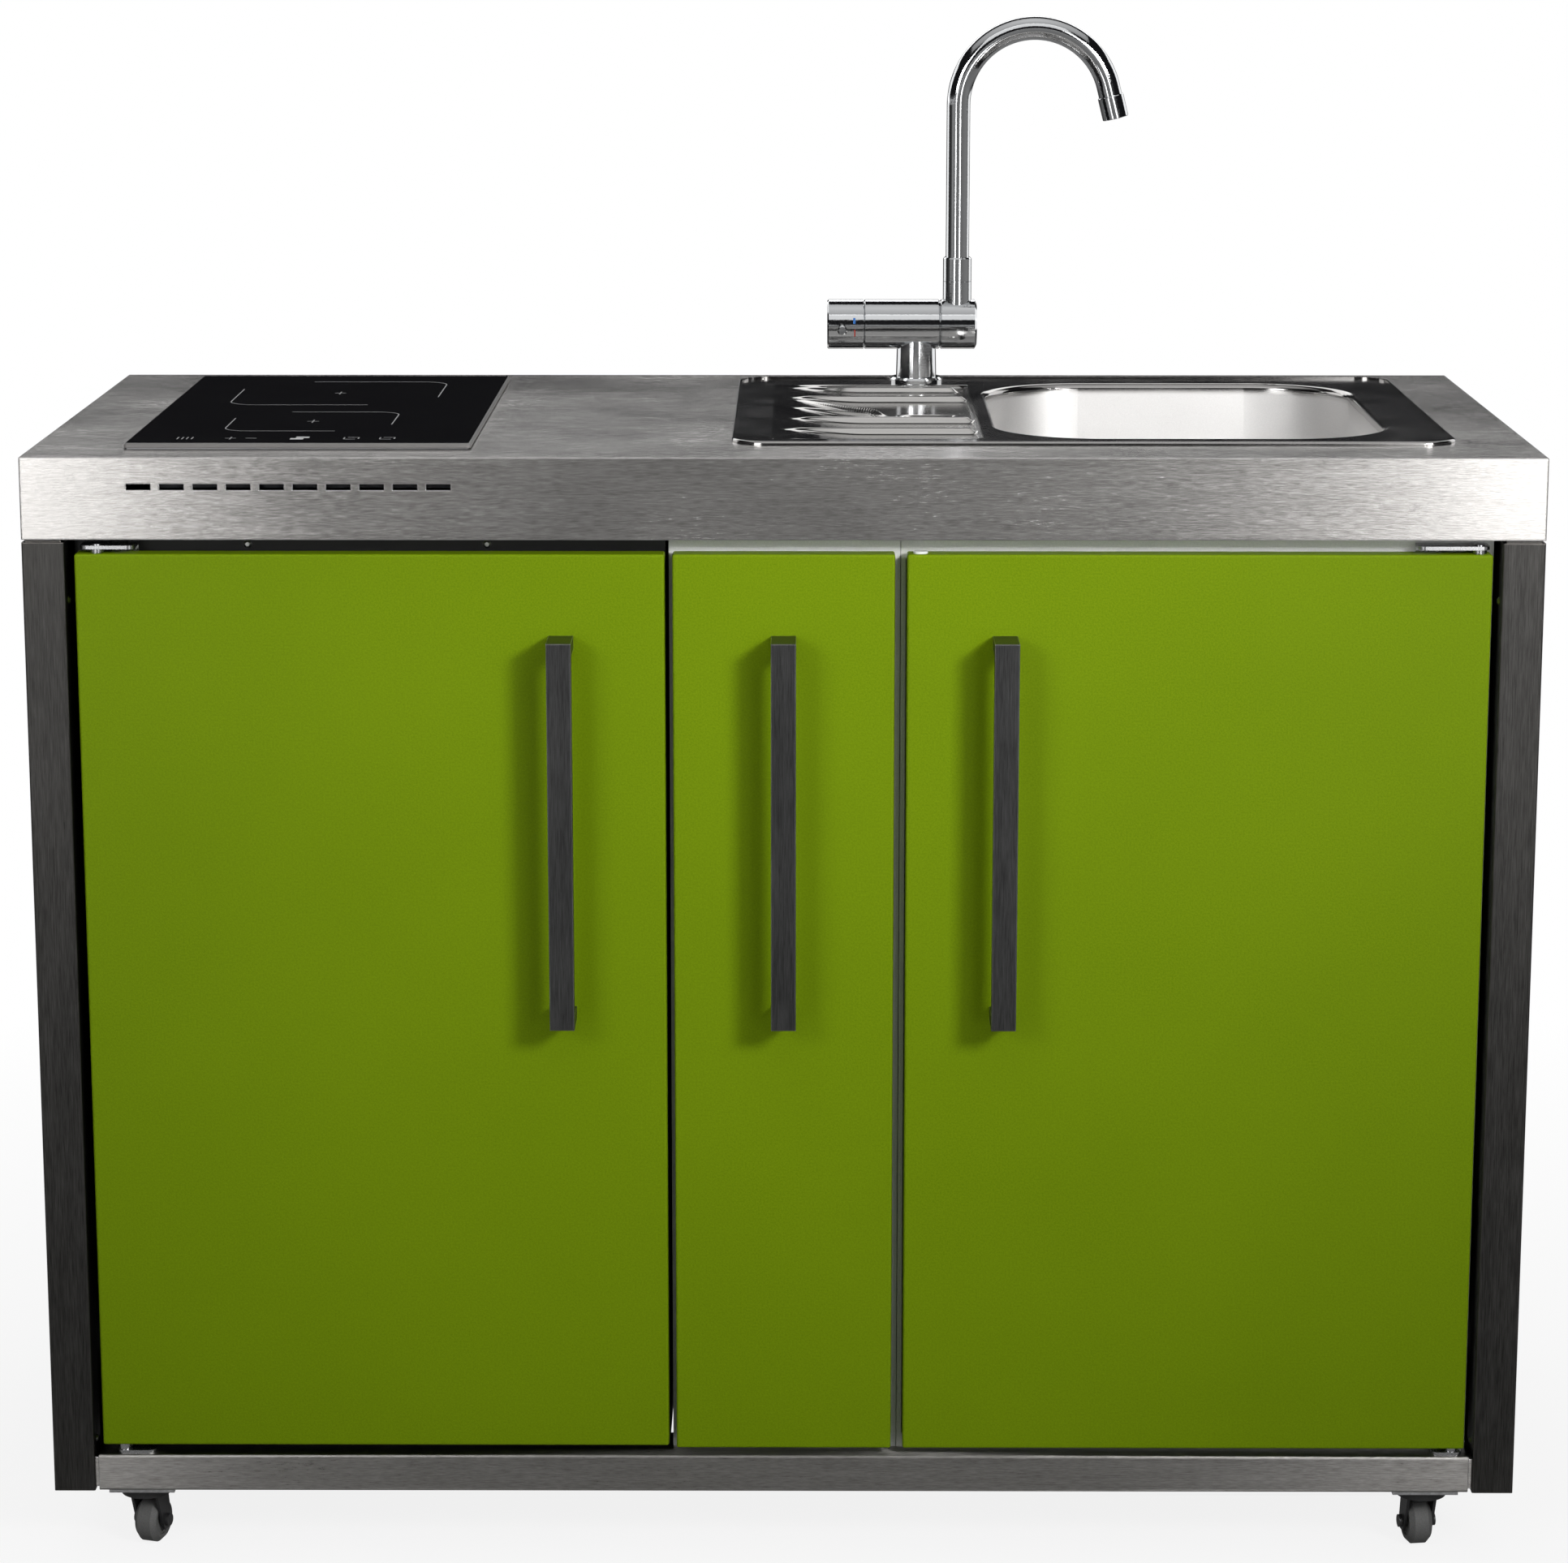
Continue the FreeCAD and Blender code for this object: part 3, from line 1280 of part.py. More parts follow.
def rounded_rectangle(sketch, x_range, y_range, radius):
    # four lines and four quarter arcs, tangent at their joints, held by the straight sides and one radius
    (left, right), (low, high) = x_range, y_range
    x0, x1, y0, y1, r = (entry.value for entry in (left, right, low, high, radius))
    first = sketch.GeometryCount
    lines = [((x0 + r, y0), (x1 - r, y0)), ((x1, y0 + r), (x1, y1 - r)),
             ((x1 - r, y1), (x0 + r, y1)), ((x0, y1 - r), (x0, y0 + r))]
    centres = [(x1 - r, y0 + r), (x1 - r, y1 - r), (x0 + r, y1 - r), (x0 + r, y0 + r)]
    for (start, end) in lines:
        sketch.addGeometry(Part.LineSegment(FreeCAD.Vector(*start, 0), FreeCAD.Vector(*end, 0)))
    for step, centre in enumerate(centres):
        whole = Part.Circle(FreeCAD.Vector(*centre, 0), FreeCAD.Vector(0, 0, 1), r)
        start = (step - 1) * math.pi / 2
        sketch.addGeometry(Part.ArcOfCircle(whole, start, start + math.pi / 2))
    for step in range(4):
        arc = first + 4 + step
        sketch.addConstraint(Sketcher.Constraint("Tangent", first + step, 2, arc, 1))
        sketch.addConstraint(Sketcher.Constraint("Tangent", arc, 2, first + (step + 1) % 4, 1))
        if step:
            sketch.addConstraint(Sketcher.Constraint("Equal", first + 4, arc))
    for step, kind in enumerate(("Horizontal", "Vertical", "Horizontal", "Vertical")):
        sketch.addConstraint(Sketcher.Constraint(kind, first + step))
    fix(sketch, "DistanceY", first, 1, low)
    fix(sketch, "DistanceX", first + 1, 1, right)
    fix(sketch, "DistanceY", first + 2, 1, high)
    fix(sketch, "DistanceX", first + 3, 1, left)
    index = sketch.addConstraint(Sketcher.Constraint("Radius", first + 4, r))
    bind(sketch, {f"Constraints[{index}]": radius})
    return sketch


def make_sink():
    # heights in this body are measured from the worktop's upper face
    wall = size.sink_sheet
    body = new_body("sink", sink_x, sink_y, size.worktop_height)
    width, depth = sink_width, sink_depth
    bead = size.sink_bead_width
    rim = rounded_rectangle(new_sketch(body, "XY_Plane"), (zero, width), (zero, depth),
                            size.sink_corner_radius)
    pad(body, rim, size.sink_bead_height)
    soften(body, size.sink_bead_radius, at_height(size.sink_bead_height))
    land = rounded_rectangle(new_sketch(body, "XY_Plane", size.sink_bead_height), (bead, width - bead),
                             (bead, depth - bead), size.sink_corner_radius - bead)
    pocket(body, land, size.sink_bead_height - wall)

    left, right = size.drainer_left_inset, bowl_left - size.drainer_bowl_gap
    low, high = size.drainer_front_inset, depth - size.drainer_back_inset
    floor = wall - size.drainer_sink
    pan_radius = size.drainer_corner_radius
    pan = rounded_rectangle(new_sketch(body, "XY_Plane"), (left - wall, right + wall),
                            (low - wall, high + wall),
                            pan_radius + wall)
    pad(body, pan, size.drainer_sink, reverse=True)
    pan_width = right - left
    channel_left = left + pan_width * size.channel_left_share
    channel_x = (channel_left, channel_left + pan_width * size.channel_width_share)
    channel_y = (size.channel_front, size.channel_front + size.channel_length)
    sump = rectangle(new_sketch(body, "XY_Plane", floor - wall), (channel_x[0] - wall, channel_x[1] + wall),
                     (channel_y[0] - wall, channel_y[1] + wall))
    pad(body, sump, size.channel_depth, reverse=True)
    recess = rounded_rectangle(new_sketch(body, "XY_Plane", wall), (left, right), (low, high), pan_radius)
    pocket(body, recess, size.drainer_sink)
    pocket(body, rectangle(new_sketch(body, "XY_Plane", floor), channel_x, channel_y), size.channel_depth)
    ribs = new_sketch(body, "XY_Plane", floor)
    for place_y in (size.rib_front_place, size.rib_middle_place, size.rib_back_place):
        start = low + place_y - size.drainer_front_inset
        rectangle(ribs, (left + size.rib_end_gap, right - size.rib_end_gap),
                  (start, start + size.rib_width))
    pad(body, ribs, size.rib_height)
    slants = new_sketch(body, "XY_Plane", floor)
    wide = size.slant_rib_width
    aim_y = size.channel_front + size.channel_length / 2
    begin_x = left + 2 * size.rib_end_gap
    end_x = channel_left - size.rib_end_gap
    rise = size.rib_back_place - aim_y - size.rib_width
    for share in (1.0, 0.5):
        draw(slants, (begin_x, aim_y + share * rise), (end_x, aim_y + share * wide),
             (end_x, aim_y + share * wide + wide), (begin_x, aim_y + share * rise + wide))
    pad(body, slants, size.slant_rib_height)

    bowl_span_x = (bowl_left, bowl_left + bowl_width)
    bowl_span_y = (depth - size.bowl_back_inset - bowl_depth, depth - size.bowl_back_inset)
    radius = size.bowl_corner_radius

    def grown(span_range, grow):
        return span_range[0] - grow, span_range[1] + grow

    tub = rounded_rectangle(new_sketch(body, "XY_Plane"), grown(bowl_span_x, wall),
                            grown(bowl_span_y, wall), radius + wall)
    outer = pad(body, tub, size.bowl_height - wall, reverse=True)
    bind(outer, {"TaperAngle": -size.bowl_draft})
    hollow = rounded_rectangle(new_sketch(body, "XY_Plane", wall), bowl_span_x, bowl_span_y, radius)
    inner = pocket(body, hollow, size.bowl_height - wall)
    bind(inner, {"TaperAngle": -size.bowl_draft})
    soften(body, size.bowl_floor_radius, at_height(2 * wall - size.bowl_height))
    soften(body, size.bowl_floor_radius + wall, at_height(wall - size.bowl_height))

    def around_bowl(level, grow):
        start, end = (entry.value for entry in grown(bowl_span_x, grow))
        level_edge = at_height(level)

        def chosen(edge):
            box = edge.BoundBox
            return level_edge(edge) and box.XMin > start - near and box.XMax < end + near

        return chosen

    soften(body, size.bowl_rim_radius + wall, around_bowl(zero, wall))
    soften(body, size.bowl_rim_radius, around_bowl(wall, zero))
    drain = new_sketch(body, "XY_Plane", 2 * wall - size.bowl_height)
    circle(drain, bowl_left + bowl_width / 2, (bowl_span_y[0] + bowl_span_y[1]) / 2,
           size.waste_throat_radius + size.waste_clearance)
    pocket(body, drain, 2 * wall)
    tap_hole = new_sketch(body, "XY_Plane", wall)
    circle(tap_hole, tap_left, depth - size.tap_back_inset, size.tap_hole_radius)
    pocket(body, tap_hole, wall)


# Waste fitting, lift-out strainer and bottle trap below the bowl

def make_waste():
    body = new_body("sink_waste", waste_x, waste_y, bowl_floor)
    throat = size.waste_throat_radius
    seat = throat - size.waste_wall
    ledge = seat - size.waste_seat_width
    floor = -size.waste_throat_depth
    tail_outer = size.waste_tail_radius
    tail_inner = tail_outer - size.waste_wall
    profile = [
        (seat, size.waste_flange), (size.waste_radius, size.waste_flange), (size.waste_radius, zero),
        (throat, zero), (throat, floor), (tail_outer, floor), (tail_outer, floor - size.waste_tail_length),
        (tail_inner, floor - size.waste_tail_length), (tail_inner, floor + size.waste_wall),
        (ledge, floor + size.waste_wall), (ledge, -size.waste_seat_depth), (seat, -size.waste_seat_depth),
    ]
    revolve(body, draw(new_sketch(body, "XZ_Plane"), *profile))


def make_strainer():
    seat = size.waste_throat_radius - size.waste_wall
    body = new_body("sink_strainer", waste_x, waste_y,
                    bowl_floor - size.waste_seat_depth + size.strainer_lift)
    thick = size.strainer_thickness
    pad(body, circle(new_sketch(body, "XY_Plane"), zero, zero, seat - size.waste_clearance), thick)
    knob = circle(new_sketch(body, "XY_Plane", thick), zero, zero, size.strainer_knob_radius)
    pad(body, knob, size.strainer_knob_height)
    soften(body, size.strainer_knob_edge, at_height(thick + size.strainer_knob_height))
    hole = circle(new_sketch(body, "XY_Plane", thick), size.strainer_hole_ring, zero,
                  size.strainer_hole_radius)
    ring(body, pocket(body, hole, thick), hole, size.strainer_hole_count)


def make_trap():
    far = size.cut_overrun
    wall = size.trap_cup_wall
    cup_low = cup_high - size.trap_cup_height
    outlet_end = back - size.trap_outlet_inset
    neck_high = cup_high + size.trap_neck_height
    outer = join("trap_outer",
                 rod("trap_cup", z_axis, (waste_x, waste_y, cup_low), size.trap_cup_radius,
                     size.trap_cup_height),
                 rod("trap_neck", z_axis, (waste_x, waste_y, cup_high), size.trap_neck_radius,
                     size.trap_neck_height),
                 rod("trap_pipe", y_axis, (waste_x, waste_y, outlet_z), size.trap_pipe_radius,
                     outlet_end - size.trap_outlet_length - waste_y),
                 rod("trap_outlet", y_axis, (waste_x, waste_y, outlet_z), size.trap_outlet_radius,
                     outlet_end - waste_y))
    inside = join("trap_inside",
                  rod("trap_cup_space", z_axis, (waste_x, waste_y, cup_low + wall),
                      size.trap_cup_radius - wall,
                      size.trap_cup_height - 2 * wall),
                  rod("trap_neck_space", z_axis, (waste_x, waste_y, cup_high - wall - far),
                      size.waste_tail_radius + size.waste_clearance, neck_high + far - cup_high + wall + far),
                  rod("trap_outlet_space", y_axis, (waste_x, waste_y, outlet_z),
                      size.trap_outlet_radius - wall,
                      outlet_end - waste_y + far))
    keep(cut("sink_trap", outer, inside), "sink_trap")


# Tap: a body with a side-ways mixer, a lever cap on a stem, and a swivel spout on a block that folds forward

def make_tap():
    # the barrel, its dome and its spigot lie along X and are joined to the column
    left_x = tap_x - size.tap_body_left
    barrel = new_plain_body("tap_barrel", left_x, tap_y, tap_axis_z)
    radius = size.tap_cylinder_radius
    edge_radius = size.tap_edge_radius
    length = size.tap_body_left + size.tap_body_right
    spigot = length + size.tap_seam + size.tap_spigot_length
    outline = [
        (zero, zero), (zero, radius - edge_radius), (edge_radius, radius), (length - edge_radius, radius),
        (length, radius - edge_radius), (length, size.tap_spigot_radius), (spigot, size.tap_spigot_radius),
        (spigot, zero),
    ]
    revolve(barrel, draw(new_sketch(barrel, "XY_Plane"), *outline), "H_Axis")
    column = new_plain_body("tap_column", tap_x, tap_y, deck)
    flange = size.tap_flange_radius
    foot = size.tap_column_foot_radius
    rise = size.tap_flange_height
    profile = [
        (zero, zero), (flange, zero), (flange, rise - size.tap_flange_edge),
        (flange - size.tap_flange_edge, rise), (foot, rise),
        (size.tap_column_top_radius, size.tap_axis_height), (zero, size.tap_axis_height),
    ]
    revolve(column, draw(new_sketch(column, "XZ_Plane"), *profile))
    dome = ball("tap_dome", (left_x, tap_y, tap_axis_z), size.tap_dome_radius)
    stem_hole = rod("tap_stem_hole", -x_axis,
                    (left_x - size.tap_dome_radius + size.tap_stem_depth, tap_y, tap_axis_z),
                    size.tap_stem_radius + size.tap_fit_clearance, size.tap_stem_depth + size.cut_overrun)
    keep(cut("tap_body", join("tap_solid", column, barrel, dome), stem_hole), "tap_body")

    tip_x = left_x - size.tap_dome_radius - size.tap_stem_length
    stem = rod("tap_stem", x_axis, (tip_x, tap_y, tap_axis_z), size.tap_stem_radius,
               size.tap_stem_length + size.tap_stem_depth - size.tap_fit_clearance)
    keep(stem, "tap_stem")

    # the cap's local X runs from its closed end towards the body; its rim lies one seam away from the body
    cap_left = left_x - size.tap_cap_length
    cap = new_body("tap_cap", cap_left, tap_y, tap_axis_z)
    wall = size.tap_cap_wall
    long = size.tap_cap_length - size.tap_seam
    cup = [
        (zero, zero), (zero, radius - edge_radius), (edge_radius, radius), (long, radius),
        (long, radius - wall), (wall, radius - wall), (wall, zero),
    ]
    revolve(cap, draw(new_sketch(cap, "XY_Plane"), *cup), "H_Axis")
    relief = draw(new_sketch(cap, "XY_Plane", -radius - wall), (long, zero), (long + wall, zero),
                  (long + wall, radius + wall), (long - size.tap_cap_relief, radius + wall))
    pocket(cap, relief, 2 * (radius + wall), forward=True)
    lever_hole = circle(new_sketch(cap, "XZ_Plane", radius), size.tap_lever_setback, zero,
                        size.tap_lever_root_radius + size.tap_fit_clearance)
    pocket(cap, lever_hole, size.tap_lever_depth)

    lever = new_body("tap_lever", cap_left + size.tap_lever_setback, tap_y - radius + size.tap_lever_depth,
                     tap_axis_z)
    root = size.tap_lever_root_radius
    tip = size.tap_lever_radius
    bend = size.tap_lever_edge
    end = size.tap_lever_depth + size.tap_lever_length
    outline = [
        (zero, zero), (root, zero), (root, -size.tap_lever_depth - size.tap_lever_edge), (tip, bend - end),
        (tip - bend, -end), (zero, -end),
    ]
    revolve(lever, draw(new_sketch(lever, "XY_Plane"), *outline))

    fold = new_body("tap_fold_block", fold_x, tap_y, tap_axis_z)
    crown = size.tap_fold_crown
    span = size.tap_fold_length
    outline = [
        (zero, zero), (zero, radius - edge_radius), (edge_radius, radius), (span - crown, radius),
        (span, radius - 2 * crown), (span, zero),
    ]
    revolve(fold, draw(new_sketch(fold, "XY_Plane"), *outline), "H_Axis")
    socket = circle(new_sketch(fold, "XY_Plane"), size.spout_offset, zero, size.spout_socket_radius)
    pad(fold, socket, size.spout_socket_height)
    spigot_hole = circle(new_sketch(fold, "YZ_Plane"), zero, zero,
                         size.tap_spigot_radius + size.tap_fit_clearance)
    pocket(fold, spigot_hole, size.tap_spigot_length + size.tap_seam, forward=True)
    tail_hole = circle(new_sketch(fold, "XY_Plane", size.spout_socket_height), size.spout_offset, zero,
                       size.spout_tail_radius + size.tap_fit_clearance)
    pocket(fold, tail_hole, size.spout_tail_length + size.tap_seam)


def make_spout():
    body = new_body("tap_spout", spout_x, tap_y, spout_z)
    tail = size.spout_tail_radius
    sleeve = size.spout_socket_radius
    high = size.spout_sleeve_height
    profile = [
        (zero, -size.spout_tail_length), (tail, -size.spout_tail_length), (tail, zero), (sleeve, zero),
        (sleeve, high - size.tap_edge_radius), (sleeve - size.tap_edge_radius, high), (zero, high),
    ]
    revolve(body, draw(new_sketch(body, "XZ_Plane"), *profile))
    bend = size.spout_bend_radius
    arc_level = high + size.spout_rise
    leftover = 180 - size.spout_bend_angle
    end_x = bend + bend * cosine(leftover)
    end_z = arc_level + bend * sine(leftover)
    nose_x = end_x + size.spout_nose * sine(leftover)
    nose_z = end_z - size.spout_nose * cosine(leftover)
    path = new_sketch(body, "XZ_Plane")
    points = [FreeCAD.Vector(x, z, 0) for x, z in (
        (0, high.value), (0, arc_level.value), (end_x.value, end_z.value), (nose_x.value, nose_z.value))]
    path.addGeometry(Part.LineSegment(points[0], points[1]))
    whole = Part.Circle(FreeCAD.Vector(bend.value, arc_level.value, 0), z_axis, bend.value)
    path.addGeometry(Part.ArcOfCircle(whole, math.radians(leftover.value), math.pi))
    path.addGeometry(Part.LineSegment(points[2], points[3]))
    path.addConstraint(Sketcher.Constraint("Coincident", 0, 2, 1, 2))
    path.addConstraint(Sketcher.Constraint("Coincident", 1, 1, 2, 1))
    fix(path, "DistanceX", 0, 1, zero)
    fix(path, "DistanceY", 0, 1, high)
    fix(path, "DistanceX", 0, 2, zero)
    fix(path, "DistanceY", 0, 2, arc_level)
    fix(path, "DistanceX", 1, 3, bend)
    fix(path, "DistanceY", 1, 3, arc_level)
    fix(path, "DistanceX", 1, 1, end_x)
    fix(path, "DistanceX", 2, 2, nose_x)
    fix(path, "DistanceY", 2, 2, nose_z)
    ring_profile = circle(new_sketch(body, "XY_Plane", high), zero, zero, size.spout_tube_radius)
    pipe = body.newObject("PartDesign::AdditivePipe", "tap_spout_tube")
    pipe.Profile = ring_profile
    pipe.Spine = (path, ["Edge1", "Edge2", "Edge3"])
    doc.recompute()

    lap = size.aerator_lap
    length = size.aerator_length
    slope = math.radians(leftover.value)
    downwards = FreeCAD.Vector(math.sin(slope), 0, -math.cos(slope))
    start = (spout_x + nose_x - lap * sine(leftover), tap_y, spout_z + nose_z + lap * cosine(leftover))
    aerator = new_body("tap_aerator", *start, rotation=FreeCAD.Rotation(z_axis, downwards))
    outer = size.aerator_radius
    bore = size.spout_tube_radius
    edge_radius = size.aerator_edge
    mouth = outer - size.aerator_rim
    profile = [
        (bore, zero), (outer - edge_radius, zero), (outer, edge_radius), (outer, length - edge_radius),
        (outer - edge_radius, length), (mouth, length), (mouth, length - size.aerator_recess),
        (zero, length - size.aerator_recess), (zero, lap), (bore, lap),
    ]
    revolve(aerator, draw(new_sketch(aerator, "XZ_Plane"), *profile))


def make_tap_fastening():
    low = size.worktop_height - size.worktop_sheet
    shank = rod("tap_shank", -z_axis, (tap_x, tap_y, deck), size.tap_shank_radius, size.tap_shank_length)
    washer = rod("tap_washer", -z_axis, (tap_x, tap_y, low), size.tap_washer_radius,
                 size.tap_washer_thickness)
    nut = doc.addObject("Part::Prism", "tap_nut")
    bind(nut, {"Polygon": 6, "Circumradius": size.tap_nut_radius, "Height": size.tap_nut_height})
    place(nut, tap_x, tap_y, low - size.tap_washer_thickness - size.tap_nut_height)
    keep(join("tap_fastening", shank, washer, nut), "tap_fastening")


# Hob: a bevelled glass plate over a folded box whose flange carries the seal

def make_hob():
    width, depth, glass = hob_width, hob_depth, size.hob_glass
    plate = new_body("hob_glass", hob_x, hob_y, size.worktop_height + size.hob_seal)
    outline = rounded_rectangle(new_sketch(plate, "XY_Plane"), (zero, width), (zero, depth),
                                size.hob_corner_radius)
    pad(plate, outline, glass)
    soften(plate, size.hob_glass_bevel, at_height(glass), "Chamfer")
    inset = size.hob_seal_inset
    clear = size.hob_cutout_inset + size.hob_box_clearance
    wall = size.worktop_sheet
    tray = new_body("hob_box", hob_x, hob_y, size.worktop_height)
    flange = rectangle(new_sketch(tray, "XY_Plane"), (inset, width - inset), (inset, depth - inset))
    pad(tray, flange, size.hob_seal)
    block = rectangle(new_sketch(tray, "XY_Plane"), (clear, width - clear), (clear, depth - clear))
    pad(tray, block, size.hob_box_height, reverse=True)
    soften(tray, size.hob_box_chamfer, at_height(-size.hob_box_height), "Chamfer")
    hollow = rectangle(new_sketch(tray, "XY_Plane", size.hob_seal), (clear + wall, width - clear - wall),
                       (clear + wall, depth - clear - wall))
    pocket(tray, hollow, size.hob_box_height - size.hob_box_chamfer)


# Casters: a plate with a kingpin, a fork that swivels on it, and a wheel on an axle behind the kingpin

def make_casters():
    ring_high = size.caster_height - size.caster_plate - size.swivel_gap
    ring_low = ring_high - size.swivel_ring_height
    wide = size.caster_plate_width / 2
    plates = []
    corners = (
        ("front_left", -1, front + size.caster_front_inset, size.caster_angle_front_left),
        ("front_right", 1, front + size.caster_front_inset, size.caster_angle_front_right),
        ("back_left", -1, back - size.caster_front_inset, size.caster_angle_back_left),
        ("back_right", 1, back - size.caster_front_inset, size.caster_angle_back_right),
    )
    for name, side, y, angle in corners:
        x = side * (half - size.caster_side_inset)
        top = size.caster_height
        plate = box("caster_plate", (x - wide, x + wide), (y - wide, y + wide),
                    (top - size.caster_plate, top))
        pin = rod("kingpin", -z_axis, (x, y, top - size.caster_plate), size.kingpin_radius,
                  size.swivel_gap * 2 + size.swivel_ring_height)
        head = rod("kingpin_head", -z_axis, (x, y, ring_low - size.swivel_gap), size.kingpin_head_radius,
                   size.kingpin_head)
        plates.append(join("caster_mount", plate, pin, head))
        make_fork("caster_fork_" + name, x, y, ring_low, angle)
        make_wheel("caster_wheel_" + name, x, y, angle)
    group("caster_plates", *plates)


def make_fork(label, x, y, ring_low, angle):
    # local Y points from the kingpin towards the axle
    turn = FreeCAD.Rotation(z_axis, angle.value)
    fork = new_body(label, x, y, zero, rotation=turn)
    rise = size.swivel_ring_height
    radius = size.swivel_ring_radius
    pad(fork, circle(new_sketch(fork, "XY_Plane", ring_low), zero, zero, radius), rise)
    soften(fork, size.swivel_ring_edge, at_height(ring_low + rise))
    inner = size.wheel_width / 2 + size.fork_clearance
    outer = inner + size.fork_sheet
    foot = size.fork_foot_radius
    trail = size.caster_trail
    axle = size.wheel_radius
    side_profile = [
        (-foot, ring_low + size.fork_sheet), (radius - foot, ring_low + size.fork_sheet), (trail + foot,
                                                                                           axle),
        (trail + foot / 2, axle - foot), (trail - foot / 2, axle - foot), (trail - foot, axle),
    ]
    for start in (-outer, inner):
        pad(fork, draw(new_sketch(fork, "YZ_Plane", start), *side_profile), size.fork_sheet)
    bore = circle(new_sketch(fork, "XY_Plane", ring_low), zero, zero,
                  size.kingpin_radius + size.kingpin_clearance)
    pocket(fork, bore, rise + size.cut_overrun, forward=True)
    shaft = circle(new_sketch(fork, "YZ_Plane", -outer), trail, axle, size.axle_radius)
    pad(fork, shaft, 2 * outer)
    for start in (-outer - size.axle_head, outer):
        pad(fork, circle(new_sketch(fork, "YZ_Plane", start), trail, axle, size.axle_head_radius),
            size.axle_head)


def make_wheel(label, x, y, angle):
    # the wheel's axis is its local X
    trail = size.caster_trail
    turn = FreeCAD.Rotation(z_axis, angle.value)
    wheel = new_body(label, x - trail * sine(angle), y + trail * cosine(angle), size.wheel_radius,
                     rotation=turn)
    half_width = size.wheel_width / 2
    radius = size.wheel_radius
    edge_radius = size.wheel_edge_radius
    bore = size.axle_radius + size.axle_clearance
    hub = size.wheel_hub_radius
    recess = half_width - size.wheel_hub_recess
    boss = size.axle_head_radius
    profile = [
        (-half_width, bore), (-half_width, boss), (-recess, boss), (-recess, hub), (-half_width, hub),
        (-half_width, radius - edge_radius), (edge_radius - half_width, radius),
        (half_width - edge_radius, radius), (half_width, radius - edge_radius), (half_width, hub),
        (recess, hub), (recess, boss), (half_width, boss), (half_width, bore),
    ]
    revolve(wheel, draw(new_sketch(wheel, "XY_Plane"), *profile), "H_Axis")


make_worktop()
for name, left, near_face in (
        ("front_left", -half, front), ("front_right", leg_inner, front),
        ("back_left", -half, back - size.leg_width), ("back_right", leg_inner, back - size.leg_width)):
    make_leg("leg_" + name, left, near_face)
make_rail("front_rail", front)
make_rail("back_rail", back - size.rail_depth)
make_side_panel("side_panel_left", -1)
make_side_panel("side_panel_right", 1)
make_back_panel()
make_screws()

make_fridge_case()
make_fridge_liner()
make_fridge_shelves()
make_evaporator()
make_knob()
make_compressor()
make_condenser()
make_door("fridge_door_panel", fridge_door_left, fridge_door_right, fridge_door_bottom, [fridge_pivot_x])
make_door_seal()
make_door_liner()
make_hinges("fridge", fridge_pivot_x, 1, fridge_door_bottom, fridge_front,
            plate_ends(fridge_pivot_x, 1, size.fridge_hinge_overhang, size.fridge_hinge_length),
            plate_ends(fridge_pivot_x, 1, size.fridge_foot_overhang, size.fridge_foot_length))

make_case("pull_out_case", pull_out_case_left, pull_out_case_right, open_top=False)
make_runners()
make_basket()
make_door("pull_out_front", pull_out_left, pull_out_right, door_bottom, [])

make_case("sink_case", sink_case_left, sink_case_right, open_top=True)
make_door("sink_door_panel", sink_door_left, sink_door_right, door_bottom, [sink_pivot_x])
make_hinges("sink", sink_pivot_x, -1, door_bottom, case_front,
            plate_ends(sink_pivot_x, -1, size.sink_hinge_overhang, size.sink_hinge_length),
            plate_ends(sink_pivot_x, -1, size.sink_foot_overhang, size.sink_foot_length))
make_door_cap()
for name, x in (("fridge", fridge_door_right - size.fridge_handle_inset),
                ("pull_out", (pull_out_left + pull_out_right) / 2),
                ("sink", sink_door_left + size.sink_handle_inset)):
    make_handle(name + "_handle", x)

make_sink()
make_waste()
make_strainer()
make_trap()
make_tap()
make_spout()
make_tap_fastening()
make_hob()
make_casters()

doc.recompute()
for entry in doc.Objects:
    if "Invalid" in entry.State or "Error" in entry.State:
        raise ValueError(f"{entry.Label} does not compute")
os.makedirs("parts", exist_ok=True)
for piece in pieces:
    if piece.Shape.isNull() or not piece.Shape.isValid() or not piece.Shape.Solids:
        raise ValueError(f"{piece.Label} is not a sound solid")
    piece.Shape.exportStep(f"parts/{piece.Label}.step")
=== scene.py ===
import json
import math

import bmesh
import bpy
from mathutils import Euler, Matrix, Vector


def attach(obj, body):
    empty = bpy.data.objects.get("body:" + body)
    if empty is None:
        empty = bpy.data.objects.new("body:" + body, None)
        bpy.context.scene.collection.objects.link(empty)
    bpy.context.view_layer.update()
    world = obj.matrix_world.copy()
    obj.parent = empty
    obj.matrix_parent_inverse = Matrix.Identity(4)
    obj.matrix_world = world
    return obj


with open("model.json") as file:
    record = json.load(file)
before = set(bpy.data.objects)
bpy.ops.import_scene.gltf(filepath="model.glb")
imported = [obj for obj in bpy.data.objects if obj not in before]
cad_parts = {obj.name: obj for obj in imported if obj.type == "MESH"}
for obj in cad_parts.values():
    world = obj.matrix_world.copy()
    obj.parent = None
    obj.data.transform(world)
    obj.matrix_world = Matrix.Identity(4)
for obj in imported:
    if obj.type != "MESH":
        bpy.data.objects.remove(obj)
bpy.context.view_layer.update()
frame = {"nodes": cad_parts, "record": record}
parts = frame["nodes"]
print("frame loaded:", len(parts), "nodes")


def placeObject(name, data):
    made = bpy.data.objects.new(name, data)
    bpy.context.collection.objects.link(made)
    return made


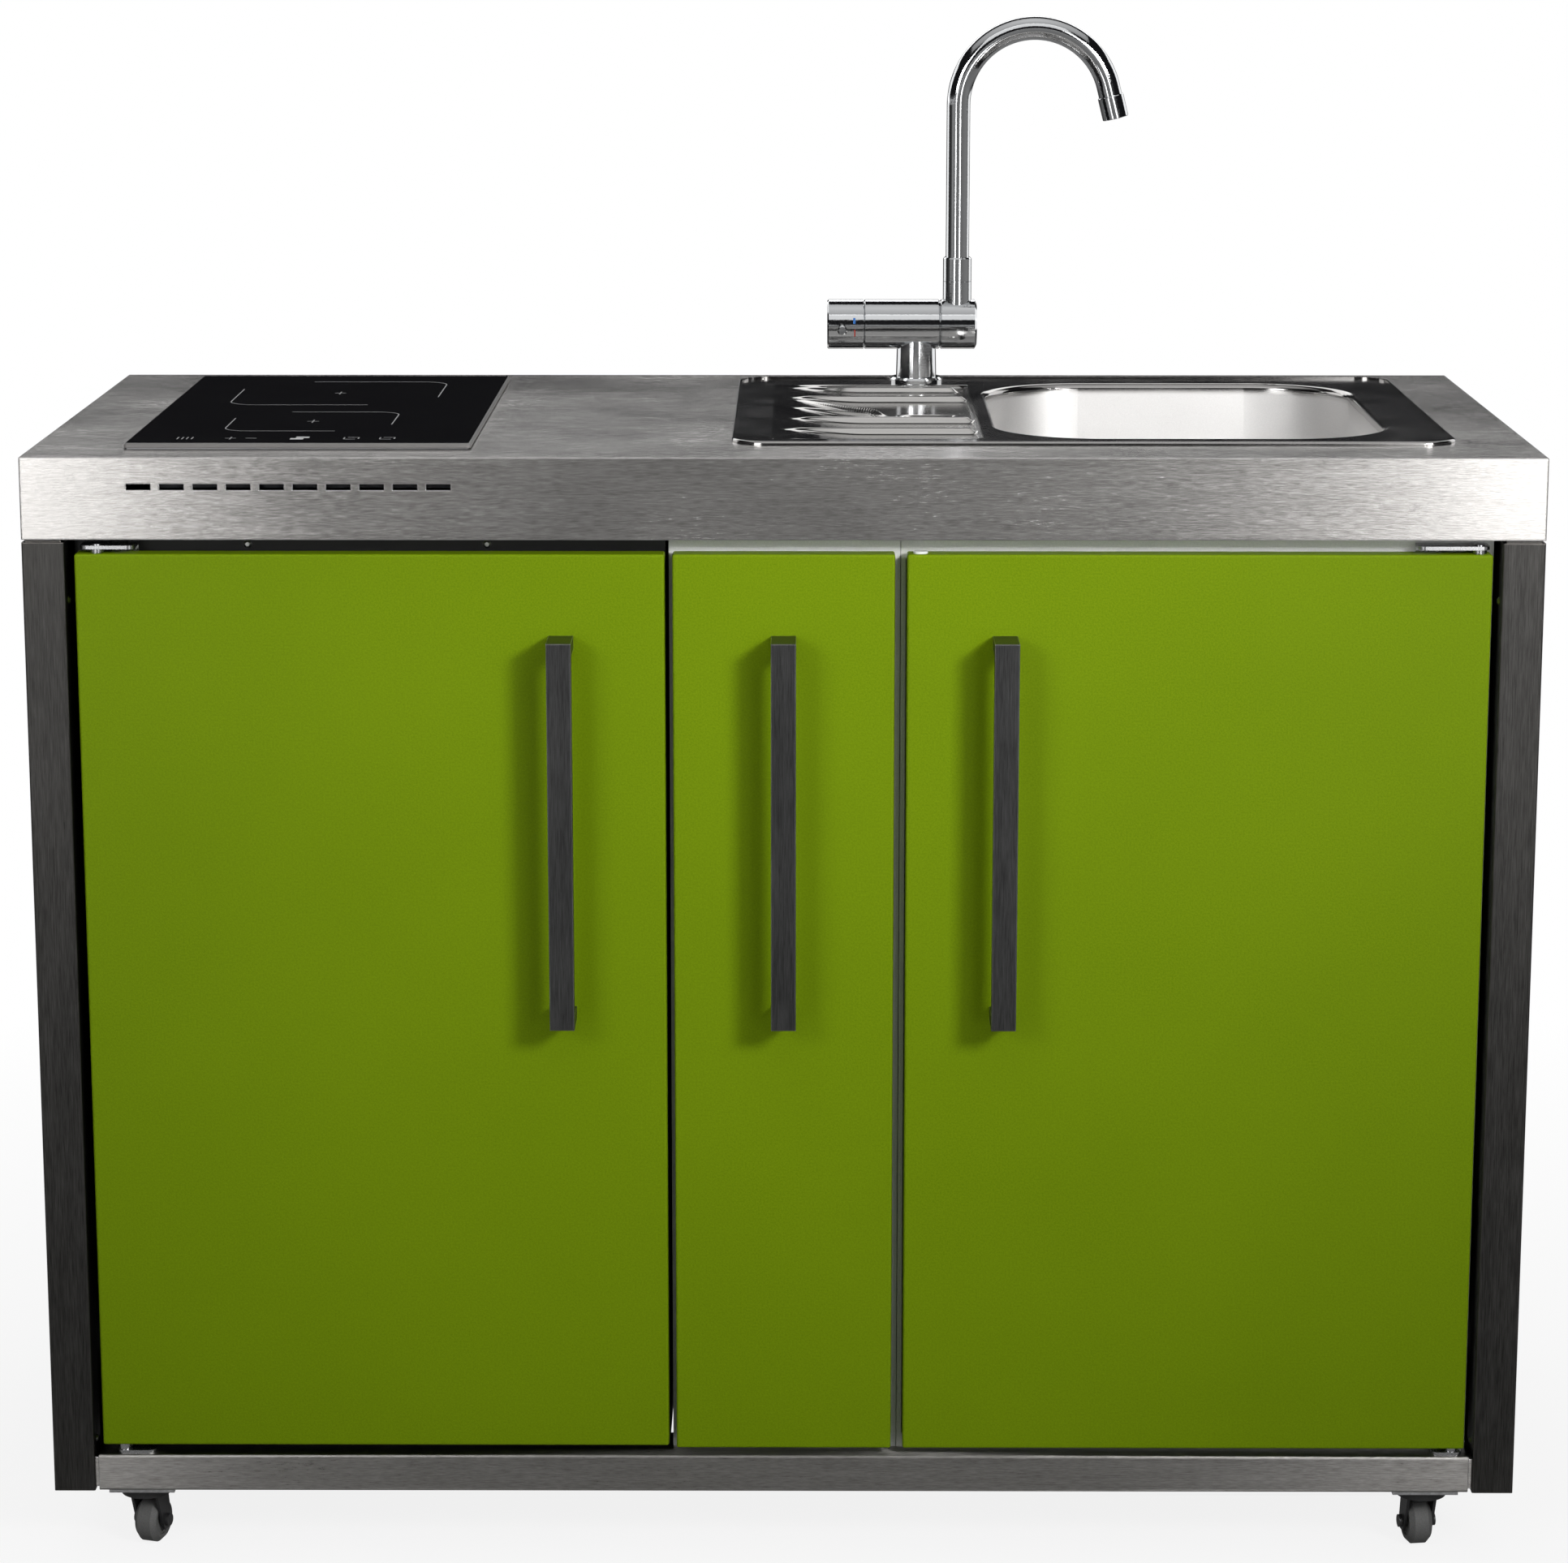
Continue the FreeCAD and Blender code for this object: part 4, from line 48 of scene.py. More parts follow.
# camera: the view of the photograph
cameraSettings = {
    "place": (0.0188, -3.8399, 1.4220),
    "tiltDown": 11.74,  # degrees
    "turn": 0.29,  # degrees to the left
    "lens": 100.75,
    "sensor": 36.0,
    "farthest": 200,
}

viewCamera = placeObject("viewCamera", bpy.data.cameras.new("viewCamera"))
viewCamera.location = cameraSettings["place"]
straightAhead = 90  # a camera that isn't turned looks straight down
viewCamera.rotation_euler = Euler((math.radians(straightAhead - cameraSettings["tiltDown"]), 0,
                                   math.radians(cameraSettings["turn"])))
viewCamera.data.lens = cameraSettings["lens"]
viewCamera.data.sensor_width = cameraSettings["sensor"]
viewCamera.data.clip_end = cameraSettings["farthest"]
bpy.context.scene.camera = viewCamera
bpy.context.scene.view_settings.view_transform = "Standard"
print("camera set")


# small helpers for node trees
def feed(tree, socket, value):
    # another socket is linked, and anything else is set as a plain value
    if isinstance(value, bpy.types.NodeSocket):
        tree.links.new(value, socket)
    else:
        socket.default_value = value


def setInput(tree, node, name, value):
    feed(tree, node.inputs[name.replace("_", " ")], value)


def addNode(tree, kind, **inputs):
    node = tree.nodes.new(kind)
    for name, value in inputs.items():
        setInput(tree, node, name, value)
    return node


def mathNode(tree, operation, first, second=0.0, clamp=False):
    node = tree.nodes.new("ShaderNodeMath")
    node.operation = operation
    node.use_clamp = clamp
    feed(tree, node.inputs[0], first)
    feed(tree, node.inputs[1], second)
    return node.outputs[0]


def vectorNode(tree, operation, first, second=(0, 0, 0)):
    node = tree.nodes.new("ShaderNodeVectorMath")
    node.operation = operation
    feed(tree, node.inputs[0], first)
    feed(tree, node.inputs[1], second)
    return node.outputs["Value" if operation in ("DOT_PRODUCT", "LENGTH") else "Vector"]


def mixColour(tree, factor, first, second):
    node = tree.nodes.new("ShaderNodeMix")
    node.data_type = "RGBA"
    sockets = {socket.identifier: socket for socket in node.inputs}
    feed(tree, sockets["Factor_Float"], factor)
    feed(tree, sockets["A_Color"], first)
    feed(tree, sockets["B_Color"], second)
    return next(socket for socket in node.outputs if socket.identifier == "Result_Color")


def rangeNode(tree, value, fromLow, fromHigh, toLow, toHigh):
    node = addNode(tree, "ShaderNodeMapRange", Value=value, From_Min=fromLow, From_Max=fromHigh,
                   To_Min=toLow, To_Max=toHigh)
    return node.outputs["Result"]


def stretchNode(tree, value, stops):
    # a run of values between -1 and 1, joined by straight ramps
    node = tree.nodes.new("ShaderNodeFloatCurve")
    curve = node.mapping.curves[0]
    node.mapping.clip_min_x = -1.0
    node.mapping.use_clip = False
    while len(curve.points) < len(stops):
        curve.points.new(0.0, 0.0)
    for point, (place, level) in zip(curve.points, stops):
        point.location = (place, level)
        point.handle_type = "VECTOR"
    node.mapping.update()
    tree.links.new(value, node.inputs["Value"])
    return node.outputs["Value"]


def noiseNode(tree, place, scale, detail=2.0, **more):
    node = addNode(tree, "ShaderNodeTexNoise", Vector=place, Scale=scale, Detail=detail, **more)
    return node.outputs["Fac"]


noiseSpan = (0.3, 0.7)  # most of a noise texture's values lie between these


def spreadNoise(tree, noise, low, high):
    # the noise's own span drawn out to run from low to high
    return rangeNode(tree, noise, *noiseSpan, low, high)


def newMaterial(name, **settings):
    material = bpy.data.materials.new(name)
    material.use_nodes = True
    tree = material.node_tree
    shader = tree.nodes["Principled BSDF"]
    for key, value in settings.items():
        setInput(tree, shader, key, value)
    return material, tree, shader


def newGroup(name, inputs, outputs):
    tree = bpy.data.node_groups.new(name, "ShaderNodeTree")
    for label, kind, value in inputs:
        socket = tree.interface.new_socket(label, in_out="INPUT", socket_type=kind)
        if value is not None:
            socket.default_value = value
    for label, kind in outputs:
        tree.interface.new_socket(label, in_out="OUTPUT", socket_type=kind)
    return tree, tree.nodes.new("NodeGroupInput").outputs, tree.nodes.new("NodeGroupOutput").inputs


def useGroup(tree, group, **inputs):
    node = tree.nodes.new("ShaderNodeGroup")
    node.node_tree = group
    for name, value in inputs.items():
        setInput(tree, node, name, value)
    return node.outputs


def gray(level):
    return (level, level, level, 1.0)


def objectPlace(tree):
    return tree.nodes.new("ShaderNodeTexCoord").outputs["Object"]


def surfaceNormal(tree):
    return tree.nodes.new("ShaderNodeNewGeometry").outputs["Normal"]


def axisPlace(tree, place, axis):
    return addNode(tree, "ShaderNodeSeparateXYZ", Vector=place).outputs[axis]


def addBump(tree, shader, height, strength, depth, **more):
    bump = addNode(tree, "ShaderNodeBump", Height=height, Strength=strength, Distance=depth, **more)
    setInput(tree, shader, "Normal", bump.outputs["Normal"])


# effects that several finishes share
brushSettings = {
    "longStretch": (0.22, 0.31, 0.31),  # the longer scratches, against the fine ones
    "fineShare": 0.78,
    "longShare": 0.22,
    "patchSize": 7.0,
}


def buildBrushGroup():
    # fine scratches drawn out along one axis, with broad cloudy patches under them
    settings = brushSettings
    tree, given, result = newGroup(
        "brushedGrain",
        (("Place", "NodeSocketVector", None), ("Stretch", "NodeSocketVector", None),
         ("Patch Size", "NodeSocketFloat", settings["patchSize"])),
        (("Scratch", "NodeSocketFloat"), ("Patch", "NodeSocketFloat")))
    drawn = vectorNode(tree, "MULTIPLY", given["Place"], given["Stretch"])
    fine = noiseNode(tree, drawn, 1.0, detail=3.0, Roughness=0.65)
    longer = noiseNode(tree, vectorNode(tree, "MULTIPLY", drawn, settings["longStretch"]), 1.0, Roughness=0.5)
    scratch = mathNode(tree, "ADD", mathNode(tree, "MULTIPLY", fine, settings["fineShare"]),
                       mathNode(tree, "MULTIPLY", longer, settings["longShare"]))
    tree.links.new(scratch, result["Scratch"])
    tree.links.new(noiseNode(tree, given["Place"], given["Patch Size"]), result["Patch"])
    return tree


edgeSettings = {
    "samples": 4,
    "gain": 5.0,  # how fast the shine grows with the turn of the normal
    "brokenScale": 60.0,
    "highlightLeast": 0.55,  # the least of the painted edge highlight where noise breaks it up like wear
}


def buildEdgeGroup():
    # how far the rounded normal turns from the surface's own: 1 on a rounded edge, 0 on a face, broken up by
    # noise like wear; the brushed steel and the door paint paint a highlight into the base colour with it,
    # and the hob glass gives its ground edge
    settings = edgeSettings
    tree, given, result = newGroup(
        "edgeShine",
        (("Width", "NodeSocketFloat", None), ("Place", "NodeSocketVector", None)),
        (("Edge", "NodeSocketFloat"), ("Normal", "NodeSocketVector")))
    rounded = tree.nodes.new("ShaderNodeBevel")
    rounded.samples = settings["samples"]
    tree.links.new(given["Width"], rounded.inputs["Radius"])
    aligned = vectorNode(tree, "DOT_PRODUCT", rounded.outputs["Normal"], surfaceNormal(tree))
    turned = mathNode(tree, "SUBTRACT", 1.0, aligned)
    broken = noiseNode(tree, given["Place"], settings["brokenScale"])
    # painted highlight mask: the rounded edge, broken up by noise
    wearAndSheen = mathNode(tree, "MULTIPLY", mathNode(tree, "MULTIPLY", turned, settings["gain"], clamp=True),
                    spreadNoise(tree, broken, settings["highlightLeast"], 1.0), clamp=True)
    tree.links.new(wearAndSheen, result["Edge"])
    tree.links.new(rounded.outputs["Normal"], result["Normal"])
    return tree


smudgeSettings = {"size": 9.0, "distortion": 0.8, "clean": 0.35, "hazed": 0.75}


def buildSmudgeGroup():
    # wiped-over patches of haze, for gloss that isn't even
    settings = smudgeSettings
    tree, given, result = newGroup(
        "wipeMarks",
        (("Place", "NodeSocketVector", None), ("Size", "NodeSocketFloat", settings["size"])),
        (("Haze", "NodeSocketFloat"),))
    broad = noiseNode(tree, given["Place"], given["Size"], detail=4.0, Roughness=0.6,
                      Distortion=settings["distortion"])
    tree.links.new(rangeNode(tree, broad, settings["clean"], settings["hazed"], 0.0, 1.0), result["Haze"])
    return tree


brushedGrain = buildBrushGroup()
edgeShine = buildEdgeGroup()
wipeMarks = buildSmudgeGroup()

# brushed steel of the worktop, rails, legs and handles
brushedShared = {
    "toneSpan": (0.34, 0.66),  # scratch values that give the dark and the light tone
    "roughSpread": 0.05,  # either way from a piece's own roughness, along the scratches
    "patchSpread": 0.03,  # and once more in broad patches
}


def makeBrushedSteel(name, settings):
    material, tree, shader = newMaterial(name, Metallic=1.0)
    if "drawn" in settings:  # reflections drawn out across the brushing
        setInput(tree, shader, "Anisotropic", settings["drawn"])
        setInput(tree, shader, "Anisotropic Rotation", settings["drawnTurn"])
    place = objectPlace(tree)
    grain = useGroup(tree, brushedGrain, Place=place, Stretch=settings["stretch"])
    scratch = grain["Scratch"]
    if "endStretch" in settings:  # end faces are brushed the other way
        endGrain = useGroup(tree, brushedGrain, Place=place, Stretch=settings["endStretch"])
        facing = mathNode(tree, "ABSOLUTE", vectorNode(tree, "DOT_PRODUCT", surfaceNormal(tree), (1, 0, 0)))
        onEnd = mathNode(tree, "GREATER_THAN", facing, settings["endFacing"])
        change = mathNode(tree, "SUBTRACT", endGrain["Scratch"], scratch)
        scratch = mathNode(tree, "ADD", scratch, mathNode(tree, "MULTIPLY", onEnd, change))
    edge = useGroup(tree, edgeShine, Width=settings["edge"], Place=place)
    brightness = rangeNode(tree, scratch, *brushedShared["toneSpan"], 0, 1)
    tone = mixColour(tree, brightness, settings["dark"], settings["light"])
    # painted highlight: along the rounded edges the base colour turns to the pale edge tone
    wearAndSheen = mathNode(tree, "MULTIPLY", edge["Edge"], settings["edgeStrength"])
    setInput(tree, shader, "Base Color", mixColour(tree, wearAndSheen, tone, settings["edgeHighlightTone"]))
    spread, patch = brushedShared["roughSpread"], brushedShared["patchSpread"]
    along = spreadNoise(tree, scratch, settings["rough"] - spread, settings["rough"] + spread)
    rough = mathNode(tree, "ADD", along, spreadNoise(tree, grain["Patch"], -patch, patch))
    setInput(tree, shader, "Roughness", rough)
    addBump(tree, shader, scratch, settings["bump"], settings["depth"], Normal=edge["Normal"])
    return material


worktopSettings = {
    "stretch": (90.0, 950.0, 950.0), "endStretch": (950.0, 90.0, 950.0), "endFacing": 0.7,
    "dark": (0.39, 0.375, 0.36, 1), "light": (0.605, 0.59, 0.575, 1), "edgeHighlightTone": gray(1.0),
    "edge": 0.0018, "edgeStrength": 1.0, "rough": 0.22, "bump": 0.7, "depth": 0.00016,
}
railSettings = dict(worktopSettings, dark=(0.31, 0.295, 0.28, 1), light=(0.52, 0.505, 0.49, 1), rough=0.33,
                    drawn=0.95, drawnTurn=0.25)
legSettings = {
    "stretch": (950.0, 950.0, 40.0),
    "dark": (0.038, 0.037, 0.035, 1), "light": (0.092, 0.089, 0.085, 1), "edgeHighlightTone": (0.70, 0.64, 0.60, 1),
    "edge": 0.0012, "edgeStrength": 0.9, "rough": 0.34, "bump": 0.6, "depth": 0.0002,
}
handleSettings = dict(legSettings, dark=gray(0.048), light=gray(0.100), edgeHighlightTone=gray(0.95), edge=0.0010,
                      rough=0.40)

# green powder coat of the doors
doorPaintSettings = {
    "deep": (0.136, 0.222, 0.0014, 1), "fresh": (0.188, 0.292, 0.0036, 1), "edgeHighlightTone": (0.36, 0.48, 0.045, 1),
    "sheen": 0.08, "rough": 0.44, "roughSpread": 0.06,
    "peelScale": 650.0, "peelSpan": (0.32, 0.68), "peelShare": (0.0, 0.8),
    "grainScale": 1700.0, "grainShare": (-0.1, 0.3), "grainHeight": 0.3,
    "cloudScale": 5.0, "cloudShare": (-0.1, 0.1),
    "edge": 0.0011, "edgeStrength": 0.75, "bump": 0.35, "depth": 0.0003,
}


def makeDoorPaint():
    # powder coat with a fine orange peel, and a painted highlight that makes the coat paler along the edges
    settings = doorPaintSettings
    material, tree, shader = newMaterial("doorPaint", IOR=1.5, Specular_IOR_Level=settings["sheen"])
    place = objectPlace(tree)
    peel = noiseNode(tree, place, settings["peelScale"], Roughness=0.6)
    grain = noiseNode(tree, place, settings["grainScale"], detail=1.0)
    cloud = noiseNode(tree, place, settings["cloudScale"])
    edge = useGroup(tree, edgeShine, Width=settings["edge"], Place=place)
    spread = mathNode(tree, "ADD", rangeNode(tree, peel, *settings["peelSpan"], *settings["peelShare"]),
                      spreadNoise(tree, grain, *settings["grainShare"]))
    spread = mathNode(tree, "ADD", spread, spreadNoise(tree, cloud, *settings["cloudShare"]), clamp=True)
    tone = mixColour(tree, spread, settings["deep"], settings["fresh"])
    # painted highlight: the edges turn to the paler edge tone
    paleEdgeHighlight = mathNode(tree, "MULTIPLY", edge["Edge"], settings["edgeStrength"])
    setInput(tree, shader, "Base Color", mixColour(tree, paleEdgeHighlight, tone, settings["edgeHighlightTone"]))
    rough = spreadNoise(tree, peel, settings["rough"] - settings["roughSpread"],
                        settings["rough"] + settings["roughSpread"])
    setInput(tree, shader, "Roughness", rough)
    height = mathNode(tree, "ADD", peel, mathNode(tree, "MULTIPLY", grain, settings["grainHeight"]))
    addBump(tree, shader, height, settings["bump"], settings["depth"], Normal=edge["Normal"])
    return material


# sink: polished rim and drainer, and a bowl that is bead-blasted to an even satin; the rim's darker base tone
# is painted shade and the bowl's lighter base tone is painted light
sinkSteelSettings = {
    "rim": (0.42, 0.41, 0.40, 1), "satin": (0.74, 0.73, 0.72, 1), "rimRough": 0.11, "satinRough": 0.54,
    "bowlLeft": 0.184, "bowlRight": 0.514, "deck": 0.9485,
    "sideFade": 0.003, "downFade": 0.006,  # how wide the change from polish to satin is
    "grainScale": 1400.0, "grainTone": gray(0.25), "grainShare": 0.14,
    "hazeSize": 14.0, "hazeRough": 0.06,
    "rimBump": 0.06, "satinBump": 0.5, "depth": 0.0001,
}


def makeSinkSteel():
    settings = sinkSteelSettings
    material, tree, shader = newMaterial("sinkSteel", Metallic=1.0)
    place = objectPlace(tree)
    across = axisPlace(tree, place, "X")
    left, right, deck = settings["bowlLeft"], settings["bowlRight"], settings["deck"]
    inside = mathNode(tree, "MULTIPLY", rangeNode(tree, across, left - settings["sideFade"], left, 0.0, 1.0),
                      rangeNode(tree, across, right, right + settings["sideFade"], 1.0, 0.0))
    below = rangeNode(tree, axisPlace(tree, place, "Z"), deck - settings["downFade"], deck, 1.0, 0.0)
    satin = mathNode(tree, "MULTIPLY", inside, below)
    grain = noiseNode(tree, place, settings["grainScale"])
    haze = useGroup(tree, wipeMarks, Place=place, Size=settings["hazeSize"])["Haze"]
    # painted shade and light: the polished rim gets a darker base tone, the satin bowl a lighter one; the
    # roughness change is real
    tone = mixColour(tree, satin, settings["rim"], settings["satin"])
    grainMask = spreadNoise(tree, grain, 0.0, settings["grainShare"])
    setInput(tree, shader, "Base Color", mixColour(tree, grainMask, tone, settings["grainTone"]))
    rough = rangeNode(tree, satin, 0.0, 1.0, settings["rimRough"], settings["satinRough"])
    hazed = mathNode(tree, "MULTIPLY", haze, settings["hazeRough"])
    setInput(tree, shader, "Roughness", mathNode(tree, "ADD", rough, hazed))
    addBump(tree, shader, grain, rangeNode(tree, satin, 0.0, 1.0, settings["rimBump"], settings["satinBump"]),
            settings["depth"])
    return material


# paints, platings and plastics with a fine fleck
speckleSettings = {"roughSpread": 0.04, "hazeRough": 0.05, "bump": 0.12, "depth": 0.0002}


def makeSpeckledPaint(name, colour, rough, fleck=0.04, scale=900.0, metallic=0.0):
    settings = speckleSettings
    material, tree, shader = newMaterial(name, Metallic=metallic)
    place = objectPlace(tree)
    speck = noiseNode(tree, place, scale)
    haze = useGroup(tree, wipeMarks, Place=place)["Haze"]
    darker = tuple(c * (1 - fleck) for c in colour) + (1,)
    lighter = tuple(min(1, c * (1 + fleck)) for c in colour) + (1,)
    setInput(tree, shader, "Base Color", mixColour(tree, spreadNoise(tree, speck, 0, 1), darker, lighter))
    spread = spreadNoise(tree, speck, rough - settings["roughSpread"], rough + settings["roughSpread"])
    hazed = mathNode(tree, "MULTIPLY", haze, settings["hazeRough"])
    setInput(tree, shader, "Roughness", mathNode(tree, "ADD", spread, hazed))
    addBump(tree, shader, speck, settings["bump"], settings["depth"])
    return material


# hob: black ceramic glass with a ground edge that catches the light
hobGlassSettings = {
    "glass": (0.0030, 0.0029, 0.0036, 1), "gloss": 0.045,
    "ground": (0.16, 0.155, 0.15, 1), "groundRough": 0.30,
    "groundSlope": (0.70, 0.98),  # how upright the normal is on the ground edge and on the flat glass
    "edge": 0.0012,
    "speckScale": 700.0, "speckSpan": (0.62, 0.75), "speckTone": gray(0.010), "speckShare": 0.4,
    "hazeSize": 11.0, "hazeRough": 0.03,
}


def makeHobGlass():
    settings = hobGlassSettings
    material, tree, shader = newMaterial("hobGlass", IOR=1.5)
    place = objectPlace(tree)
    haze = useGroup(tree, wipeMarks, Place=place, Size=settings["hazeSize"])["Haze"]
    speck = noiseNode(tree, place, settings["speckScale"], detail=1.0)
    upright = vectorNode(tree, "DOT_PRODUCT", surfaceNormal(tree), (0, 0, 1))
    onEdge = rangeNode(tree, upright, *settings["groundSlope"], 1.0, 0.0)
    edge = useGroup(tree, edgeShine, Width=settings["edge"], Place=place)
    ground = mathNode(tree, "MAXIMUM", onEdge, edge["Edge"], clamp=True)
    speckMask = rangeNode(tree, speck, *settings["speckSpan"], 0.0, settings["speckShare"])
    tone = mixColour(tree, speckMask, settings["glass"], settings["speckTone"])
    setInput(tree, shader, "Base Color", mixColour(tree, ground, tone, settings["ground"]))
    rough = rangeNode(tree, ground, 0.0, 1.0, settings["gloss"], settings["groundRough"])
    hazed = mathNode(tree, "MULTIPLY", haze, settings["hazeRough"])
    setInput(tree, shader, "Roughness", mathNode(tree, "ADD", rough, hazed))
    setInput(tree, shader, "Normal", edge["Normal"])
    return material


# glass shelves of the refrigerator
shelfGlassSettings = {
    "clear": (0.80, 0.93, 0.89, 1), "hazed": (0.74, 0.86, 0.82, 1), "clearRough": 0.03, "hazedRough": 0.12,
    "hazeSize": 12.0, "seeThrough": 0.9,
}


def makeShelfGlass():
    settings = shelfGlassSettings
    material, tree, shader = newMaterial("shelfGlass", IOR=1.5, Transmission_Weight=settings["seeThrough"])
    haze = useGroup(tree, wipeMarks, Place=objectPlace(tree), Size=settings["hazeSize"])["Haze"]
    setInput(tree, shader, "Base Color", mixColour(tree, haze, settings["clear"], settings["hazed"]))
    setInput(tree, shader, "Roughness",
             rangeNode(tree, haze, 0.0, 1.0, settings["clearRough"], settings["hazedRough"]))
    return material


# one finish for each material slot of the record
finishes = {
    "worktop_steel": makeBrushedSteel("worktopSteel", worktopSettings),
    "rail_steel": makeBrushedSteel("railSteel", railSettings),
    "leg_steel": makeBrushedSteel("legSteel", legSettings),
    "handle_dark": makeBrushedSteel("handleSteel", handleSettings),
    "door_green": makeDoorPaint(),
    "panel_steel": makeSpeckledPaint("panelCoat", (0.042, 0.042, 0.044), 0.42, fleck=0.10),
    "case_steel": makeSpeckledPaint("caseCoat", (0.86, 0.86, 0.85), 0.35),
    "zinc": makeSpeckledPaint("zincPlate", (0.55, 0.55, 0.56), 0.35, fleck=0.15, scale=300.0, metallic=1.0),
    "hinge_steel": makeSpeckledPaint("hingeSteel", (0.46, 0.46, 0.47), 0.24, fleck=0.08, metallic=1.0),
    "tap_chrome": makeSpeckledPaint("tapChrome", (0.62, 0.63, 0.64), 0.05, fleck=0.01, metallic=1.0),
    "sink_steel": makeSinkSteel(),
    "hob_black": makeHobGlass(),
    "hob_housing": makeSpeckledPaint("hobHousing", (0.35, 0.35, 0.36), 0.4, metallic=1.0),
    "fridge_housing": makeSpeckledPaint("fridgeCoat", (0.0045, 0.0045, 0.005), 0.5),
    "white_plastic": makeSpeckledPaint("whiteLiner", (0.78, 0.79, 0.79), 0.3, fleck=0.01),
    "shelf_glass": makeShelfGlass(),
    "seal_rubber": makeSpeckledPaint("sealRubber", (0.20, 0.20, 0.20), 0.6),
    "evaporator_aluminium": makeSpeckledPaint("evaporatorPlate", (0.7, 0.71, 0.72), 0.4, metallic=1.0),
    "compressor_black": makeSpeckledPaint("compressorCoat", (0.012, 0.012, 0.012), 0.3),
    "trap_plastic": makeSpeckledPaint("trapPlastic", (0.75, 0.75, 0.73), 0.4),
    "fastening_brass": makeSpeckledPaint("fasteningBrass", (0.62, 0.45, 0.22), 0.3, metallic=1.0),
    "wheel_rubber": makeSpeckledPaint("wheelRubber", (0.15, 0.15, 0.147), 0.6, fleck=0.15),
    "caster_black": makeSpeckledPaint("casterBlack", (0.026, 0.026, 0.027), 0.36, fleck=0.2),
}
slotOf = {entry["node"]: entry["material_slot"] for entry in frame["record"]["subparts"]}
for name, node in parts.items():
    finish = finishes[slotOf[name]]
    if not node.material_slots:
        node.data.materials.append(finish)
    for slot in node.material_slots:
        slot.material = finish
print("finishes assigned")

# printed marks on the glass of the hob, a hair above its face
hobMarkSettings = {
    "top": 0.957,
    "height": 0.00012,
    "lineWidth": 0.0010,
    "printTone": (0.30, 0.30, 0.31, 1),
    "litTone": (0.62, 0.62, 0.63, 1),
    "zones": (  # low corner, high corner and corner radius of the back and the front cooking zone
        ((-0.4945, 0.0385), (-0.3125, 0.2170), 0.024),
        ((-0.4750, -0.1465), (-0.3360, -0.0140), 0.020),
    ),
    "bracketShare": (0.68, 0.66),  # how far each corner's arms reach along the zone's sides
    "bendStart": 0.00002,  # length of the short piece that each bend is spun from
    "bendSteps": 7,
    "cross": (((-0.0045, 0), (0.0045, 0)), ((0, -0.009), (0, 0.009))),
    "rowPlace": -0.1950,
    "signs": {  # strokes of each sign in the front row, from the sign's own middle
        "bars": tuple(((step, -0.006), (step, 0.006)) for step in (-0.006, -0.002, 0.002, 0.006)),
        "plus": (((-0.004, 0), (0.004, 0)), ((0, -0.007), (0, 0.007))),
        "minus": (((-0.004, 0), (0.004, 0)),),
        "square": (((-0.005, -0.006), (0.003, -0.006)), ((-0.006, -0.005), (-0.006, 0.005)),
                   ((-0.003, 0.006), (0.005, 0.006)), ((0.006, -0.003), (0.006, 0.005))),
    },
    "row": (("bars", -0.5000), ("plus", -0.4620), ("minus", -0.4450), ("square", -0.3610),
            ("square", -0.3310)),
    "display": (((-0.0030, -0.004), (0.0005, -0.004)), ((0.0010, 0.006), (0.0045, 0.006))),
    "displayPlace": -0.4050,
    "displayWidth": 0.0075,
    "rough": 0.5, "brokenScale": 900.0, "fade": 0.35, "fadeTone": gray(0.01), "bump": 0.15, "depth": 0.0001,
}


def makeMarkPrint(name, colour):
    # ceramic print: slightly broken, and duller than the glass
    settings = hobMarkSettings
    material, tree, shader = newMaterial(name, Roughness=settings["rough"])
    broken = noiseNode(tree, objectPlace(tree), settings["brokenScale"])
    fade = spreadNoise(tree, broken, settings["fade"], 0.0)
    setInput(tree, shader, "Base Color", mixColour(tree, fade, colour, settings["fadeTone"]))
    addBump(tree, shader, broken, settings["bump"], settings["depth"])
    return material


def addBar(work, start, end, width):
    # one flat printed stroke from start to end
    run = Vector(end) - Vector(start)
    made = bmesh.ops.create_cube(work, size=1.0)["verts"]
    bmesh.ops.scale(work, verts=made, vec=(run.length + width, width, hobMarkSettings["height"]))
    bmesh.ops.rotate(work, verts=made, matrix=Matrix.Rotation(math.atan2(run.y, run.x), 3, "Z"))
    middle = (Vector(start) + Vector(end)) / 2
    bmesh.ops.translate(work, verts=made, vec=(middle.x, middle.y, hobMarkSettings["top"]))


def addStrokes(work, place, strokes, width):
    placeX, placeY = place
    for (startX, startY), (endX, endY) in strokes:
        addBar(work, (placeX + startX, placeY + startY), (placeX + endX, placeY + endY), width)


def addBend(work, centre, radius, firstAngle, width):
    # a quarter ring: one short piece spun about the corner's centre
    settings = hobMarkSettings
    first = math.radians(firstAngle)
    made = bmesh.ops.create_cube(work, size=1.0)["verts"]
    bmesh.ops.scale(work, verts=made, vec=(width, settings["bendStart"], settings["height"]))
    bmesh.ops.translate(work, verts=made, vec=(radius, 0, 0))
    bmesh.ops.rotate(work, verts=made, matrix=Matrix.Rotation(first, 3, "Z"))
    bmesh.ops.translate(work, verts=made, vec=(centre[0], centre[1], settings["top"]))
    ahead = Vector((-math.sin(first), math.cos(first), 0))
    face = max((f for v in made for f in v.link_faces), key=lambda f: f.normal.dot(ahead))
    bmesh.ops.spin(work, geom=[face] + list(face.edges) + list(face.verts), cent=(centre[0], centre[1], 0),
                   axis=(0, 0, 1), angle=math.radians(90), steps=settings["bendSteps"])


